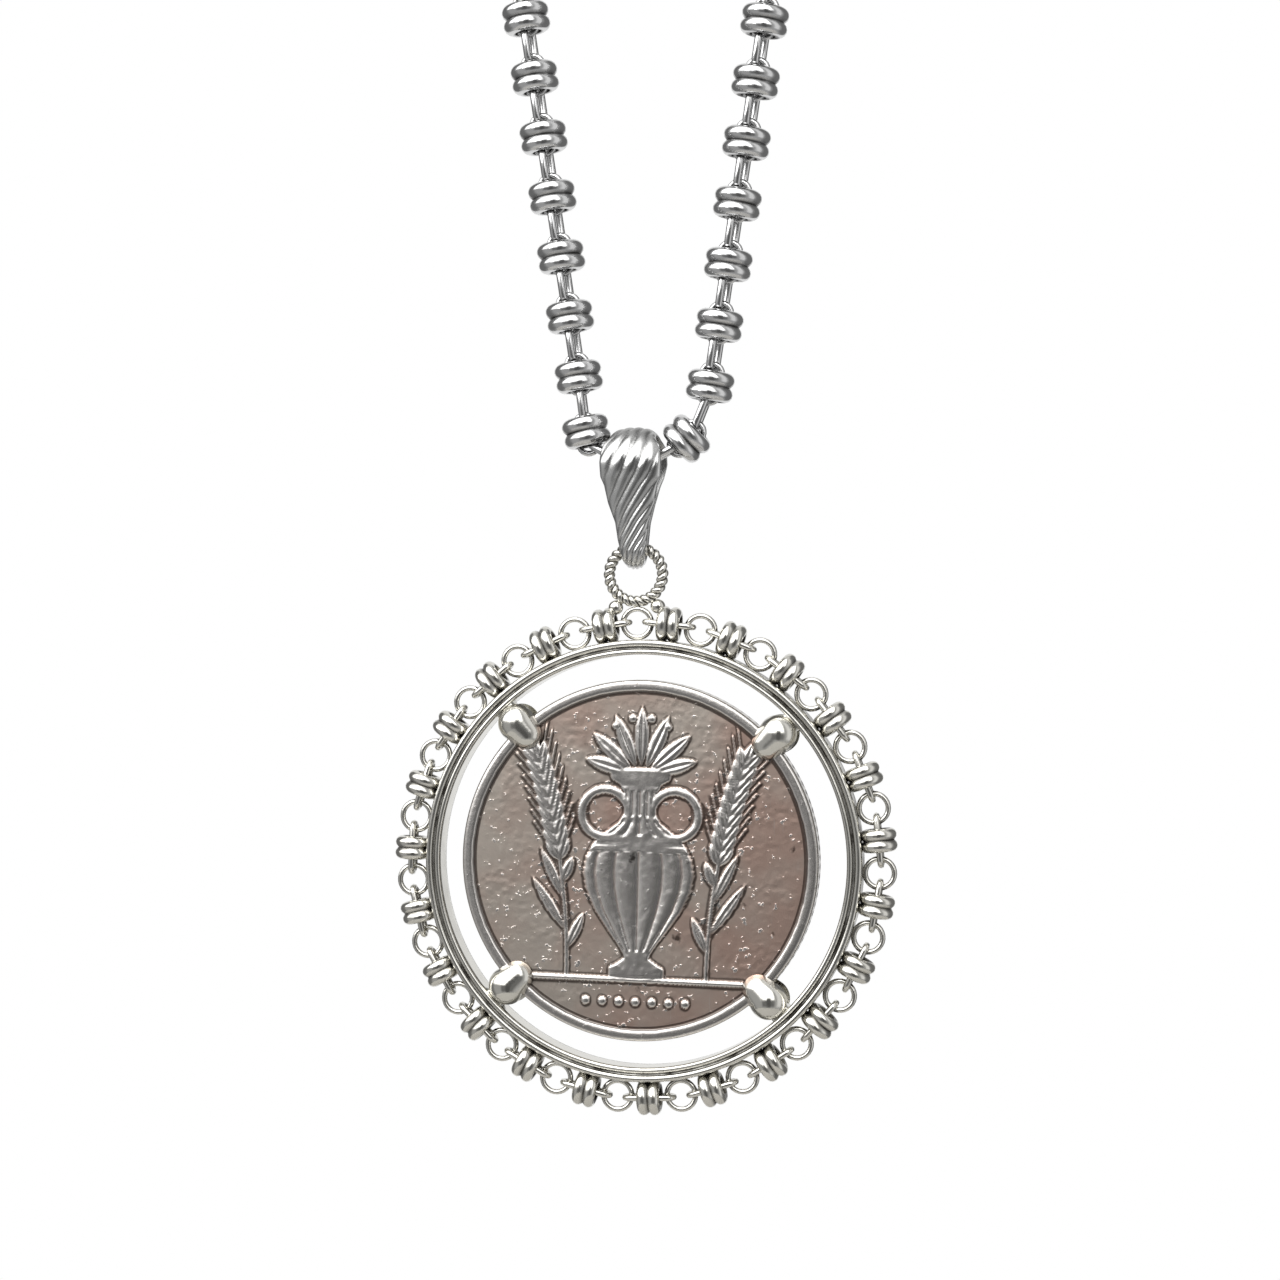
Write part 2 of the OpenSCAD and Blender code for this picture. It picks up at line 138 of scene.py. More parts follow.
def between(value, low, high, soft):
    """1 where an angle lies between two others, in degrees, with soft ends."""
    ends = [add(sky, "ShaderNodeMapRange", {"interpolation_type": "SMOOTHSTEP"},
                {"Value": value, "From Min": math.radians(end - soft * side),
                 "From Max": math.radians(end + soft * side), "To Min": 0, "To Max": 1})
            for end, side in ((low, 1), (high, -1))]
    return add(sky, "ShaderNodeMath", {"operation": "MULTIPLY"}, {0: ends[0], 1: ends[1]})


ahead = add(sky, "ShaderNodeVectorMath", {"operation": "DOT_PRODUCT"}, {0: way, 1: toward})
aside = add(sky, "ShaderNodeVectorMath", {"operation": "DOT_PRODUCT"}, {0: way, 1: compass(90, 0)})
turn = add(sky, "ShaderNodeMath", {"operation": "ARCTAN2"},
           {0: aside.outputs["Value"], 1: ahead.outputs["Value"]})
up = add(sky, "ShaderNodeSeparateXYZ", None, {0: way}).outputs["Z"]
rise = add(sky, "ShaderNodeMath", {"operation": "ARCSINE"}, {0: up})
light = BACK_GREY
for low, high, under, over, soft, level in PANELS:
    panel = add(sky, "ShaderNodeMath", {"operation": "MULTIPLY"},
                {0: between(turn, low, high, soft), 1: between(rise, under, over, soft)})
    mixed = add(sky, "ShaderNodeMix", {"data_type": "FLOAT"}, {"Factor": panel, 2: light, 3: level})
    light = mixed.outputs[0]
glow = add(sky, "ShaderNodeBackground", None, {"Color": light})
white = add(sky, "ShaderNodeBackground", None, {"Color": (1, 1, 1, 1), "Strength": 1})
seen = add(sky, "ShaderNodeLightPath").outputs["Is Camera Ray"]
both = add(sky, "ShaderNodeMixShader", None, {0: seen, 1: glow, 2: white})
add(sky, "ShaderNodeOutputWorld", None, {"Surface": both})
print(len(PANELS), "panels in", len(sky.nodes), "nodes")

# %% [markdown]
# Two softboxes stand in the window's direction. They draw the hard bright core of each highlight, which a
# room alone leaves too even.

# %% The softboxes
def area_light(name, size, power, turn, rise, far=0.6):
    """A square softbox that looks at the pendant from a compass turn and a rise."""
    data = bpy.data.lights.new(name, "AREA")
    data.size, data.energy = size, power
    lamp = bpy.data.objects.new(name, data)
    scene.collection.objects.link(lamp)
    back = compass(turn, rise)
    lamp.location = AIM + far * back
    lamp.rotation_mode = "QUATERNION"
    lamp.rotation_quaternion = (-back).to_track_quat("-Z", "Y")
    return lamp


area_light("high softbox", size=0.3, power=1.0, turn=-22, rise=50)
area_light("left softbox", size=0.16, power=0.3, turn=-50, rise=18)

# %% [markdown]
# The floor is a pale disc well below the pendant, outside the picture, as a table under a necklace bust.

# %% The floor
FLOOR_Z = -0.34
FLOOR_R = 0.13
floor_mesh = bpy.data.meshes.new("floor")
disc = bmesh.new()
bmesh.ops.create_circle(disc, cap_ends=True, segments=96, radius=FLOOR_R)
disc.to_mesh(floor_mesh)
disc.free()
floor_mesh.transform(Matrix.Translation((0, 0, FLOOR_Z)))
floor = bpy.data.objects.new("floor", floor_mesh)
scene.collection.objects.link(floor)
floor_paint = bpy.data.materials.new("pale matt paint")
floor_paint.use_nodes = True
floor_shader = floor_paint.node_tree.nodes["Principled BSDF"]
floor_shader.inputs["Base Color"].default_value = linear("#B0AEAA")
floor_shader.inputs["Roughness"].default_value = 0.7
floor_mesh.materials.append(floor_paint)

# %% [markdown]
# Sterling silver is nearly white and takes a mirror polish, but on a worn necklace the mirror is soft: fine
# scratches spread each highlight a little, and hollows that no cloth reaches keep a grey tarnish, painted
# darker still as painted shade. The roughness varies with a slow cloud, a bump carries the fine marks, and
# the "hollow" attribute of a piece says where the tarnish and the painted shade go.

# %% Polished sterling silver
def silver(name, face, tarnish_and_shade_colour, smooth, rough, mark_mm):
    material = bpy.data.materials.new(name)
    material.use_nodes = True
    tree = material.node_tree
    shader = tree.nodes["Principled BSDF"]
    shader.inputs["Metallic"].default_value = 1
    place = add(tree, "ShaderNodeTexCoord").outputs["Object"]
    cloud = add(tree, "ShaderNodeTexNoise", None, {"Vector": place, "Scale": 1 / (1.6 * MM), "Detail": 3})
    marks = add(tree, "ShaderNodeTexNoise", None,
                {"Vector": place, "Scale": 1 / (mark_mm * MM), "Detail": 2})
    hollow = add(tree, "ShaderNodeAttribute", {"attribute_name": "hollow"}).outputs["Fac"]
    # The hollow attribute, mottled by the slow cloud, lays tarnish and painted shade into the colour and
    # dulls it.
    mottling = add(tree, "ShaderNodeMapRange", None,
                {"Value": cloud, "From Min": 0.35, "From Max": 0.65, "To Min": 0.5, "To Max": 1})
    tarnish_and_shade_mask = add(tree, "ShaderNodeMath", {"operation": "MULTIPLY", "use_clamp": True}, {0: hollow, 1: mottling})
    colour = add(tree, "ShaderNodeMix", {"data_type": "RGBA"},
                 {"Factor": tarnish_and_shade_mask, 6: linear(face), 7: linear(tarnish_and_shade_colour)})
    tree.links.new(colour.outputs[2], shader.inputs["Base Color"])
    polish = add(tree, "ShaderNodeMapRange", None,
                 {"Value": cloud, "From Min": 0.3, "From Max": 0.7, "To Min": smooth, "To Max": rough})
    dull = add(tree, "ShaderNodeMath", {"operation": "MULTIPLY_ADD"}, {0: tarnish_and_shade_mask, 1: 0.3, 2: polish})
    tree.links.new(dull.outputs[0], shader.inputs["Roughness"])
    bump = add(tree, "ShaderNodeBump", None, {"Strength": 0.25, "Distance": 0.02 * MM, "Height": marks})
    tree.links.new(bump.outputs[0], shader.inputs["Normal"])
    return material


SETTING_SILVER = silver("polished sterling silver", "#DDDBD4", "#3E3B37",
                        smooth=0.1, rough=0.2, mark_mm=0.22)
CHAIN_SILVER = silver("rolled chain silver", "#D8D8D8", "#33312F", smooth=0.1, rough=0.22, mark_mm=0.25)
BAIL_SILVER = silver("cast sterling silver", "#D0D0CF", "#2E2C2A", smooth=0.14, rough=0.27, mark_mm=0.3)
print("silvers", [m.name for m in bpy.data.materials])

# %% [markdown]
# The coin is struck in a hard stainless steel. The field between the forms is dull, and its warm brown is a
# painted reflection of brown surroundings, while the forms and the rim, which fingers rub, are brighter and
# smoother. Long fine scratches, a few dark spots and bright pin specks, thickest near the forms, break up
# the field. Three values of the mesh steer this: "raised" is the height, "corner" marks the foot of each
# form, where dirt and painted shade lie, and "nearby" says how close the forms are.

# %% The patterns of the coin steel
COIN_STEEL = bpy.data.materials.new("struck coin steel")
COIN_STEEL.use_nodes = True
tree = COIN_STEEL.node_tree
shader = tree.nodes["Principled BSDF"]
shader.inputs["Metallic"].default_value = 1
place = add(tree, "ShaderNodeTexCoord").outputs["Object"]
raised = add(tree, "ShaderNodeAttribute", {"attribute_name": "raised"}).outputs["Fac"]
corner = add(tree, "ShaderNodeAttribute", {"attribute_name": "corner"}).outputs["Fac"]
nearby = add(tree, "ShaderNodeAttribute", {"attribute_name": "nearby"}).outputs["Fac"]
patches = add(tree, "ShaderNodeTexNoise", None, {"Vector": place, "Scale": 1 / (6 * MM), "Detail": 3})
grains = add(tree, "ShaderNodeTexNoise", None, {"Vector": place, "Scale": 1 / (0.5 * MM), "Detail": 3})
spots = add(tree, "ShaderNodeTexNoise", None, {"Vector": place, "Scale": 1 / (1.5 * MM), "Detail": 4})
drawn_out = add(tree, "ShaderNodeMapping", None,
                {"Vector": place, "Rotation": (0, 0.6, 0), "Scale": (1 / (0.12 * MM), 1, 1 / (3 * MM))})
scratches = add(tree, "ShaderNodeTexNoise", None, {"Vector": drawn_out, "Scale": 1, "Detail": 2})
print("patterns", [n.name for n in tree.nodes if n.bl_idname == "ShaderNodeTexNoise"])

# %% [markdown]
# The colour is laid on in three coats: the brown field, a painted reflection that is a little darker to the
# right, then the bright metal of the forms, specks and scratches, and last the dark spots, and the dirt with
# painted shade at the foot of each form. The speck size is coarser than the real one, so that it shows at
# this distance.

# %% The colour of the coin steel
# Painted reflection: the field's brown is the flat steel's reflection of brown surroundings, darker to the
# right.
across = add(tree, "ShaderNodeSeparateXYZ", None, {0: place}).outputs["X"]
painted_reflection_tilt = add(tree, "ShaderNodeMath", {"operation": "MULTIPLY_ADD"}, {0: across, 1: 0.01 / MM, 2: patches})
reflected_brown = add(tree, "ShaderNodeMapRange", None,
            {"Value": painted_reflection_tilt, "From Min": 0.35, "From Max": 0.65, "To Min": 0, "To Max": 1})
field = add(tree, "ShaderNodeMix", {"data_type": "RGBA"},
            {"Factor": reflected_brown, 6: linear("#D0C5BA"), 7: linear("#C5AA9D")})
worn = add(tree, "ShaderNodeMapRange", None,
           {"Value": raised, "From Min": 0.15, "From Max": 0.6, "To Min": 0, "To Max": 1})
crowded = add(tree, "ShaderNodeMath", {"operation": "MULTIPLY_ADD"}, {0: nearby, 1: 0.07, 2: grains})
speckled = add(tree, "ShaderNodeMapRange", None,
               {"Value": crowded, "From Min": 0.66, "From Max": 0.7, "To Min": 0, "To Max": 0.9})
bare = add(tree, "ShaderNodeMath", {"operation": "MULTIPLY_ADD"}, {0: worn, 1: -0.8, 2: 1})
specks = add(tree, "ShaderNodeMath", {"operation": "MULTIPLY"}, {0: speckled, 1: bare})
lines = add(tree, "ShaderNodeMapRange", None,
            {"Value": scratches, "From Min": 0.68, "From Max": 0.74, "To Min": 0, "To Max": 0.5})
marks = add(tree, "ShaderNodeMath", {"operation": "MAXIMUM"}, {0: specks, 1: lines})
bright = add(tree, "ShaderNodeMath", {"operation": "MAXIMUM"}, {0: worn, 1: marks})
metal = add(tree, "ShaderNodeMix", {"data_type": "RGBA"},
            {"Factor": bright, 6: field.outputs[2], 7: linear("#D6D2CE")})
spot = add(tree, "ShaderNodeMapRange", None,
           {"Value": spots, "From Min": 0.7, "From Max": 0.76, "To Min": 0, "To Max": 0.85})
# Dirt and painted shade at the foot of each form and of the rim, from the corner value.
line = add(tree, "ShaderNodeMapRange", None,
           {"Value": corner, "From Min": 0.05, "From Max": 0.3, "To Min": 0, "To Max": 0.8})
dirt_and_shade = add(tree, "ShaderNodeMath", {"operation": "MAXIMUM"}, {0: spot, 1: line})
whole = add(tree, "ShaderNodeMix", {"data_type": "RGBA"},
            {"Factor": dirt_and_shade, 6: metal.outputs[2], 7: linear("#3B322D")})
tree.links.new(whole.outputs[2], shader.inputs["Base Color"])
print("three coats of colour")

# %% The finish of the coin steel
polish = add(tree, "ShaderNodeMapRange", None,
             {"Value": bright, "From Min": 0, "From Max": 1, "To Min": 0.34, "To Max": 0.25})
tree.links.new(polish.outputs[0], shader.inputs["Roughness"])
bump = add(tree, "ShaderNodeBump", None, {"Strength": 0.6, "Distance": 0.04 * MM, "Height": specks})
bump = add(tree, "ShaderNodeBump", None,
           {"Strength": 0.5, "Distance": 0.03 * MM, "Height": grains, "Normal": bump})
tree.links.new(bump.outputs[0], shader.inputs["Normal"])
print("coin steel has", len(tree.nodes), "nodes")

# %% [markdown]
# Some pieces are shapes that a rule gives point by point. This pair of functions turns a grid of points into
# a smooth piece: the grid wraps round in its second direction, and its first direction either wraps too or
# is closed with a cap at each end.

# %% Grids of points as pieces
def piece_from(name, points, faces, material, place=Matrix(), **values):
    """A smooth piece from points in millimetres, with one named value for each point."""
    mesh = bpy.data.meshes.new(name)
    mesh.from_pydata(np.asarray(points) * MM, [], faces)
    for key, numbers in values.items():
        attribute = mesh.attributes.new(key, "FLOAT", "POINT")
        attribute.data.foreach_set("value", np.asarray(numbers, np.float32))
    mesh.transform(place)
    mesh.shade_smooth()
    mesh.materials.append(material)
    piece = bpy.data.objects.new(name, mesh)
    scene.collection.objects.link(piece)
    print(name, len(mesh.vertices), "points,", len(mesh.polygons), "faces")
    return piece


def grid_faces(rings, across, first=0, wrap=True):
    """Faces of a grid whose points go round each ring, ring after ring."""
    k = np.arange(rings if wrap else rings - 1)[:, None]
    j = np.arange(across)[None, :]
    k2, j2 = (k + 1) % rings, (j + 1) % across
    return (np.stack([k * across + j, k * across + j2, k2 * across + j2, k2 * across + j], -1)
            .reshape(-1, 4) + first).tolist()

# %% [markdown]
# The pendant hangs with a slight lean. All its pieces are drawn about the coin's centre and then taken to
# their place by one turn and one shift, the same as the fixed model has.

# %% Sizes of the pendant and the bail, in millimetres
COIN_D = 27.8
COIN_T = 1.8
COIN_TURN = -3  # degrees
COIN_SHIFT = 0.24  # how far the coin sits left of the ring's middle
RIM_W = 0.95
RIM_H = 0.22
RELIEF_H = 0.2

RING_BORE = 31.7
RING_WALL = 1.15
RING_DEPTH = 2.6
RING_BEAD_R = 0.26  # of the wire along the outer edge
RING_LIP_R = 0.2  # of the lip along the bore

BORDER_N = 23
BORDER_BITE = 0.14
EYE_D = 2.65
EYE_WIRE = 0.42
STUD_D = 2.8
STUD_L = 1.8
STUD_BORE = 1.4
TIE_WIRE = 0.5
TIE_W = 1.56
TIE_GAP = 0.05

CLAW_L = 3.84
CLAW_W = 3
CLAW_H = 1.2
CLAW_HOLD = 1.85  # how far a claw reaches over the coin
CLAW_TURN = -3.6  # degrees
POST_W = 1.6
COIN_GAP = 0.06

ROPE_D = 5.1
ROPE_WIRE = 0.93
ROPE_LOBES = 24
ROPE_SEAT = -0.1  # below zero the twisted ring sinks into the border
ROPE_GAP = 0.07
BALL_D = 1.15
SOLDER_BITE = 0.12

BAIL_R = 2.1  # inside, at the top
FOOT_R = 0.62  # inside, at the foot
BAIL_DROP = 6.28  # between the middles of the two arcs
BAIL_HALF = 2.4  # half of the greatest width
BAIL_T = 0.68
FOOT_T = 0.62
FOOT_IN = 0.56
FLUTE_SHARE = 0.3
BAIL_SHIFT = 0.15
LEAN = 1.5  # degrees
MID = Vector((-1, 0, -198.026))  # the middle bead of the chain

print("coin", COIN_D, "mm in a ring of", RING_BORE, "mm, with", BORDER_N, "rings and beads round it")

# %% The place of the pendant
ring_r = RING_BORE / 2
band_r = ring_r + RING_WALL
border_r = band_r - BORDER_BITE + STUD_D / 2
step = math.pi / BORDER_N
rope_rise = border_r + EYE_D / 2 + ROPE_SEAT + ROPE_D / 2
rope_r = (ROPE_D - ROPE_WIRE) / 2
bail_place = MID + Vector((BAIL_SHIFT, 0, 0))
pivot = bail_place - Vector((0, 0, BAIL_DROP + FOOT_R - ROPE_GAP - ROPE_WIRE / 2))
HANG = (Matrix.Translation(pivot * MM) @ Matrix.Rotation(-math.radians(LEAN), 4, "Y")
        @ Matrix.Translation(Vector((0, 0, -(rope_r + rope_rise) * MM))))
print("coin centre", [round(c / MM, 3) for c in HANG.translation])

# %% [markdown]
# The chain and the border are the same few shapes set down again and again along a line, which is work for
# Geometry Nodes. First come the helpers: one opens a tree with its named sizes, one closes it, and one grows
# a plain mesh from it. Each size is set by its socket's identifier before the shape is first worked out.

# %% Helpers for Geometry Nodes
def open_tree(name, *sizes):
    tree = bpy.data.node_groups.new(name, "GeometryNodeTree")
    tree.interface.new_socket("Points", in_out="INPUT", socket_type="NodeSocketGeometry")
    for size in sizes:
        tree.interface.new_socket(size, in_out="INPUT", socket_type="NodeSocketFloat")
    tree.interface.new_socket("Metal", in_out="INPUT", socket_type="NodeSocketMaterial")
    tree.interface.new_socket("Piece", in_out="OUTPUT", socket_type="NodeSocketGeometry")
    return tree, tree.nodes.new("NodeGroupInput").outputs


def close_tree(tree, parts, metal):
    joined = add(tree, "GeometryNodeJoinGeometry")
    for part in parts:
        tree.links.new(part.outputs[0], joined.inputs[0])
    real = add(tree, "GeometryNodeRealizeInstances", None, {"Geometry": joined})
    dressed = add(tree, "GeometryNodeSetMaterial", None, {"Geometry": real, "Material": metal})
    add(tree, "NodeGroupOutput", None, {"Piece": dressed})


def grow(name, tree, metal, start=None, place=Matrix(), **sizes):
    """A plain mesh piece from a tree. Sizes are in millimetres; a name that ends in _n is a count."""
    piece = bpy.data.objects.new(name, start or bpy.data.meshes.new(name))
    scene.collection.objects.link(piece)
    rule = piece.modifiers.new("rule", "NODES")
    rule.node_group = tree
    wanted = {key.removesuffix("_n").replace("_", " "): value if key.endswith("_n") else value * MM
              for key, value in sizes.items()}
    for socket in tree.interface.items_tree:
        if socket.in_out == "INPUT" and socket.name in wanted:
            rule[socket.identifier] = float(wanted.pop(socket.name))
        elif socket.name == "Metal":
            rule[socket.identifier] = metal
    assert not wanted, wanted
    graph = bpy.context.evaluated_depsgraph_get()
    mesh = bpy.data.meshes.new_from_object(piece.evaluated_get(graph), preserve_all_data_layers=True,
                                           depsgraph=graph)
    piece.modifiers.remove(rule)
    piece.data = mesh
    mesh.name = name
    mesh.transform(place)
    mesh.shade_smooth()
    mesh.set_sharp_from_angle(angle=math.radians(52))
    print(name, len(mesh.vertices), "points,", len(mesh.polygons), "faces")
    return piece

# %% [markdown]
# A bead is a strip with two round ribs, rolled up into a short tube. Its outline starts as a circle whose
# points move to the nearer of the two ribs, and never further in than the bore. Tarnish and painted shade go
# in the groove between the ribs and in the bore.

# %% Nodes for a bead
def double_bead(tree, across, length, bore, outline_n=28, round_n=30):
    """A bead along X, with the value "hollow", for tarnish and painted shade, in its groove and its bore."""
    rib = add(tree, "ShaderNodeMath", {"operation": "MULTIPLY"}, {0: length, 1: 0.27})
    half = add(tree, "ShaderNodeMath", {"operation": "MULTIPLY"}, {0: length, 1: 0.5})
    aside = add(tree, "ShaderNodeMath", {"operation": "SUBTRACT"}, {0: half, 1: rib})
    outer = add(tree, "ShaderNodeMath", {"operation": "MULTIPLY"}, {0: across, 1: 0.5})
    middle = add(tree, "ShaderNodeMath", {"operation": "SUBTRACT"}, {0: outer, 1: rib})
    hole = add(tree, "ShaderNodeMath", {"operation": "MULTIPLY"}, {0: bore, 1: 0.5})
    inside = add(tree, "ShaderNodeMath", {"operation": "SUBTRACT"}, {0: hole, 1: middle})

    outline = add(tree, "GeometryNodeCurvePrimitiveCircle", None, {"Resolution": outline_n, "Radius": 1})
    spot = add(tree, "ShaderNodeSeparateXYZ", None, {0: add(tree, "GeometryNodeInputPosition")})
    along = add(tree, "ShaderNodeMath", {"operation": "MULTIPLY"}, {0: spot.outputs["Y"], 1: half})
    from_groove = add(tree, "ShaderNodeMath", {"operation": "ABSOLUTE"}, {0: along})
    off = add(tree, "ShaderNodeMath", {"operation": "SUBTRACT"}, {0: from_groove, 1: aside})
    off_2 = add(tree, "ShaderNodeMath", {"operation": "MULTIPLY"}, {0: off, 1: off})
    rib_2 = add(tree, "ShaderNodeMath", {"operation": "MULTIPLY"}, {0: rib, 1: rib})
    room = add(tree, "ShaderNodeMath", {"operation": "SUBTRACT"}, {0: rib_2, 1: off_2})
    room = add(tree, "ShaderNodeMath", {"operation": "MAXIMUM"}, {0: room, 1: 0})
    rise = add(tree, "ShaderNodeMath", {"operation": "SQRT"}, {0: room})
    side = add(tree, "ShaderNodeMath", {"operation": "SIGN"}, {0: spot.outputs["X"]})
    signed = add(tree, "ShaderNodeMath", {"operation": "MULTIPLY"}, {0: rise, 1: side})
    out = add(tree, "ShaderNodeMath", {"operation": "MAXIMUM"}, {0: signed, 1: inside})
    point = add(tree, "ShaderNodeCombineXYZ", None, {"X": out, "Y": along})

    # Tarnish and painted shade: 1 in the groove between the ribs and on the bore side.
    deep = add(tree, "ShaderNodeMapRange", None, {"Value": from_groove, "From Min": 0.02 * MM,
                                                  "From Max": 0.11 * MM, "To Min": 1, "To Max": 0})
    in_bore = add(tree, "ShaderNodeMath", {"operation": "MULTIPLY"}, {0: side, 1: -1})
    hollow = add(tree, "ShaderNodeMath", {"operation": "MAXIMUM"}, {0: deep, 1: in_bore})
    marked = add(tree, "GeometryNodeStoreNamedAttribute", {"data_type": "FLOAT", "domain": "POINT"},
                 {"Geometry": outline, "Name": "hollow", "Value": hollow})
    shaped = add(tree, "GeometryNodeSetPosition", None, {"Geometry": marked, "Position": point})
    rail = add(tree, "GeometryNodeCurvePrimitiveCircle", None, {"Resolution": round_n, "Radius": middle})
    tube = add(tree, "GeometryNodeCurveToMesh", None, {"Curve": rail, "Profile Curve": shaped})
    return add(tree, "GeometryNodeTransform", None, {"Geometry": tube, "Rotation": (0, math.pi / 2, 0)})


print("bead ready")

# %% [markdown]
# A link is a circle of wire whose two halves are drawn apart, so that it becomes an oval.

# %% Nodes for wire and links
def wire(tree, path, thick, round_n=8):
    half = add(tree, "ShaderNodeMath", {"operation": "MULTIPLY"}, {0: thick, 1: 0.5})
    outline = add(tree, "GeometryNodeCurvePrimitiveCircle", None, {"Resolution": round_n, "Radius": half})
    return add(tree, "GeometryNodeCurveToMesh", None, {"Curve": path, "Profile Curve": outline})


def oval_link(tree, length, width, thick, path_n=22):
    """A link along X that lies in the XY plane."""
    straight = add(tree, "ShaderNodeMath", {"operation": "SUBTRACT"}, {0: length, 1: width})
    bend = add(tree, "ShaderNodeMath", {"operation": "SUBTRACT"}, {0: width, 1: thick})
    radius = add(tree, "ShaderNodeMath", {"operation": "MULTIPLY"}, {0: bend, 1: 0.5})
    path = add(tree, "GeometryNodeCurvePrimitiveCircle", None, {"Resolution": path_n, "Radius": radius})
    spot = add(tree, "ShaderNodeSeparateXYZ", None, {0: add(tree, "GeometryNodeInputPosition")})
    side = add(tree, "ShaderNodeMath", {"operation": "SIGN"}, {0: spot.outputs["X"]})
    away = add(tree, "ShaderNodeMath", {"operation": "MULTIPLY"}, {0: side, 1: straight})
    away = add(tree, "ShaderNodeMath", {"operation": "MULTIPLY"}, {0: away, 1: 0.5})
    apart = add(tree, "ShaderNodeCombineXYZ", None, {"X": away})
    oval = add(tree, "GeometryNodeSetPosition", None, {"Geometry": path, "Offset": apart})
    return wire(tree, oval, thick)


UPRIGHT = (math.pi / 2, 0, 0)
print("wire and link ready")

# %% [markdown]
# The chain is a row of beads, each fused to the oval link inside it, with another oval link from bead to
# bead, turned a quarter. The last link of a side is wider, to go round the clasp. The tree reads a cloud of
# points: "part" says what stands at a point and "turn" how it is turned. So one tree draws both sides.

# %% The tree of the chain
chain_tree, size = open_tree("chain", "Bead across", "Bead length", "Bead bore",
                             "Core length", "Core width", "Core wire",
                             "Join length", "Join width", "Join wire", "End width")
core = oval_link(chain_tree, size["Core length"], size["Core width"], size["Core wire"])
shapes = [double_bead(chain_tree, size["Bead across"], size["Bead length"], size["Bead bore"]),
          add(chain_tree, "GeometryNodeTransform", None, {"Geometry": core, "Rotation": UPRIGHT}),
          oval_link(chain_tree, size["Join length"], size["Join width"], size["Join wire"]),
          oval_link(chain_tree, size["Join length"], size["End width"], size["Join wire"])]
part = add(chain_tree, "GeometryNodeInputNamedAttribute", {"data_type": "INT"}, {"Name": "part"})
turn = add(chain_tree, "GeometryNodeInputNamedAttribute", {"data_type": "FLOAT_VECTOR"}, {"Name": "turn"})
BEAD, CORE, JOIN, END = range(4)
rows = []
for kind, shape in enumerate(shapes):
    chosen = add(chain_tree, "FunctionNodeCompare", {"data_type": "INT", "operation": "EQUAL"},
                 {2: part, 3: kind})
    rows.append(add(chain_tree, "GeometryNodeInstanceOnPoints", None,
                    {"Points": size["Points"], "Selection": chosen, "Instance": shape, "Rotation": turn}))
close_tree(chain_tree, rows, size["Metal"])
print("chain tree", len(chain_tree.nodes), "nodes")

# %% [markdown]
# The route of the chain is the one of the fixed model. From the middle bead, which the bail hides, each side
# takes a few chosen turns, then runs straight up, and an arch closes it on the clasp. The lean of a side is
# found by halving, so that its arch ends at the clasp.

# %% Sizes of the chain, in millimetres
BEAD_D = 3.66
BEAD_L = 2.3
BEAD_BORE = 1.96
BEAD_SLIDE = 0.2  # how far a bead has slid down its core link
PITCH = 4.7
CORE_L = 3.5
CORE_W = 2.04
CORE_WIRE = 0.45
JOIN_W = 1.86
JOIN_WIRE = 0.6
JOIN_TURN = 18  # degrees about the strand
PLAIN_STEPS = 4  # the links this near the bail aren't turned
LINK_GAP = 0.1
STRAND_N = 35
ARCH_N = 10
CLASP_W = 5
CLASP_RUN = 4
CLASP_WIRE = 1.1
THUMB_L = 1.4
# The first turns of a side in degrees, where it starts, and the slide of its first bead
ROUTES = {"right": ([27.3, 42, 68], MID.x, 0), "left": ([31.4, 78, 82.6], -MID.x, 0.2)}
LEAN_RANGE = (1, 30)
LEAN_HALVINGS = 27

core_step = CORE_L - CORE_W
hook_in = (CORE_W - CORE_WIRE) / 2 - CORE_WIRE / 2 - JOIN_WIRE / 2 - LINK_GAP
join_step = PITCH - core_step
join_l = join_step - 2 * hook_in + JOIN_WIRE
last_step = join_step - hook_in + CLASP_W / 2 - CLASP_WIRE - JOIN_WIRE / 2 - LINK_GAP
end_w = CLASP_WIRE + 2 * LINK_GAP + 2 * JOIN_WIRE
print("links", round(join_l, 2), "mm long, the last ones", round(end_w, 2), "mm wide")

# %% The route of the chain
def steps(route, lean):
    """The length and angle of each step of a side, from the middle bead to the clasp."""
    arch = ARCH_N * PITCH - join_step + last_step
    turn = (90 + lean) / arch
    out = [(core_step / 2, 0), (join_step, route[0]), (core_step, route[1]), (join_step, route[2])]
    out += [(core_step, 90 - lean), (join_step, 90 - lean)] * STRAND_N
    for i in range(ARCH_N):
        far = last_step if i == ARCH_N - 1 else join_step
        out += [(core_step, 90 - lean + turn * (i * PITCH + core_step / 2)),
                (far, 90 - lean + turn * (i * PITCH + core_step + far / 2))]
    return np.array(out)


def joints_of(side):
    """The points between the steps of a side, outward in +X from the middle bead, and their angles."""
    route, start, _ = ROUTES[side]
    low, high = LEAN_RANGE
    for _ in range(LEAN_HALVINGS):
        lean = (low + high) / 2
        walk = steps(route, lean)
        angle = np.radians(walk[:, 1])
        ends = np.cumsum(walk[:, :1] * np.stack([np.cos(angle), np.sin(angle)], 1), 0) + (start, MID.z)
        low, high = (low, lean) if ends[-1, 0] > CLASP_RUN / 2 else (lean, high)
    return walk, angle, ends, lean


print("a side has", 2 * (STRAND_N + ARCH_N) + 4, "steps")

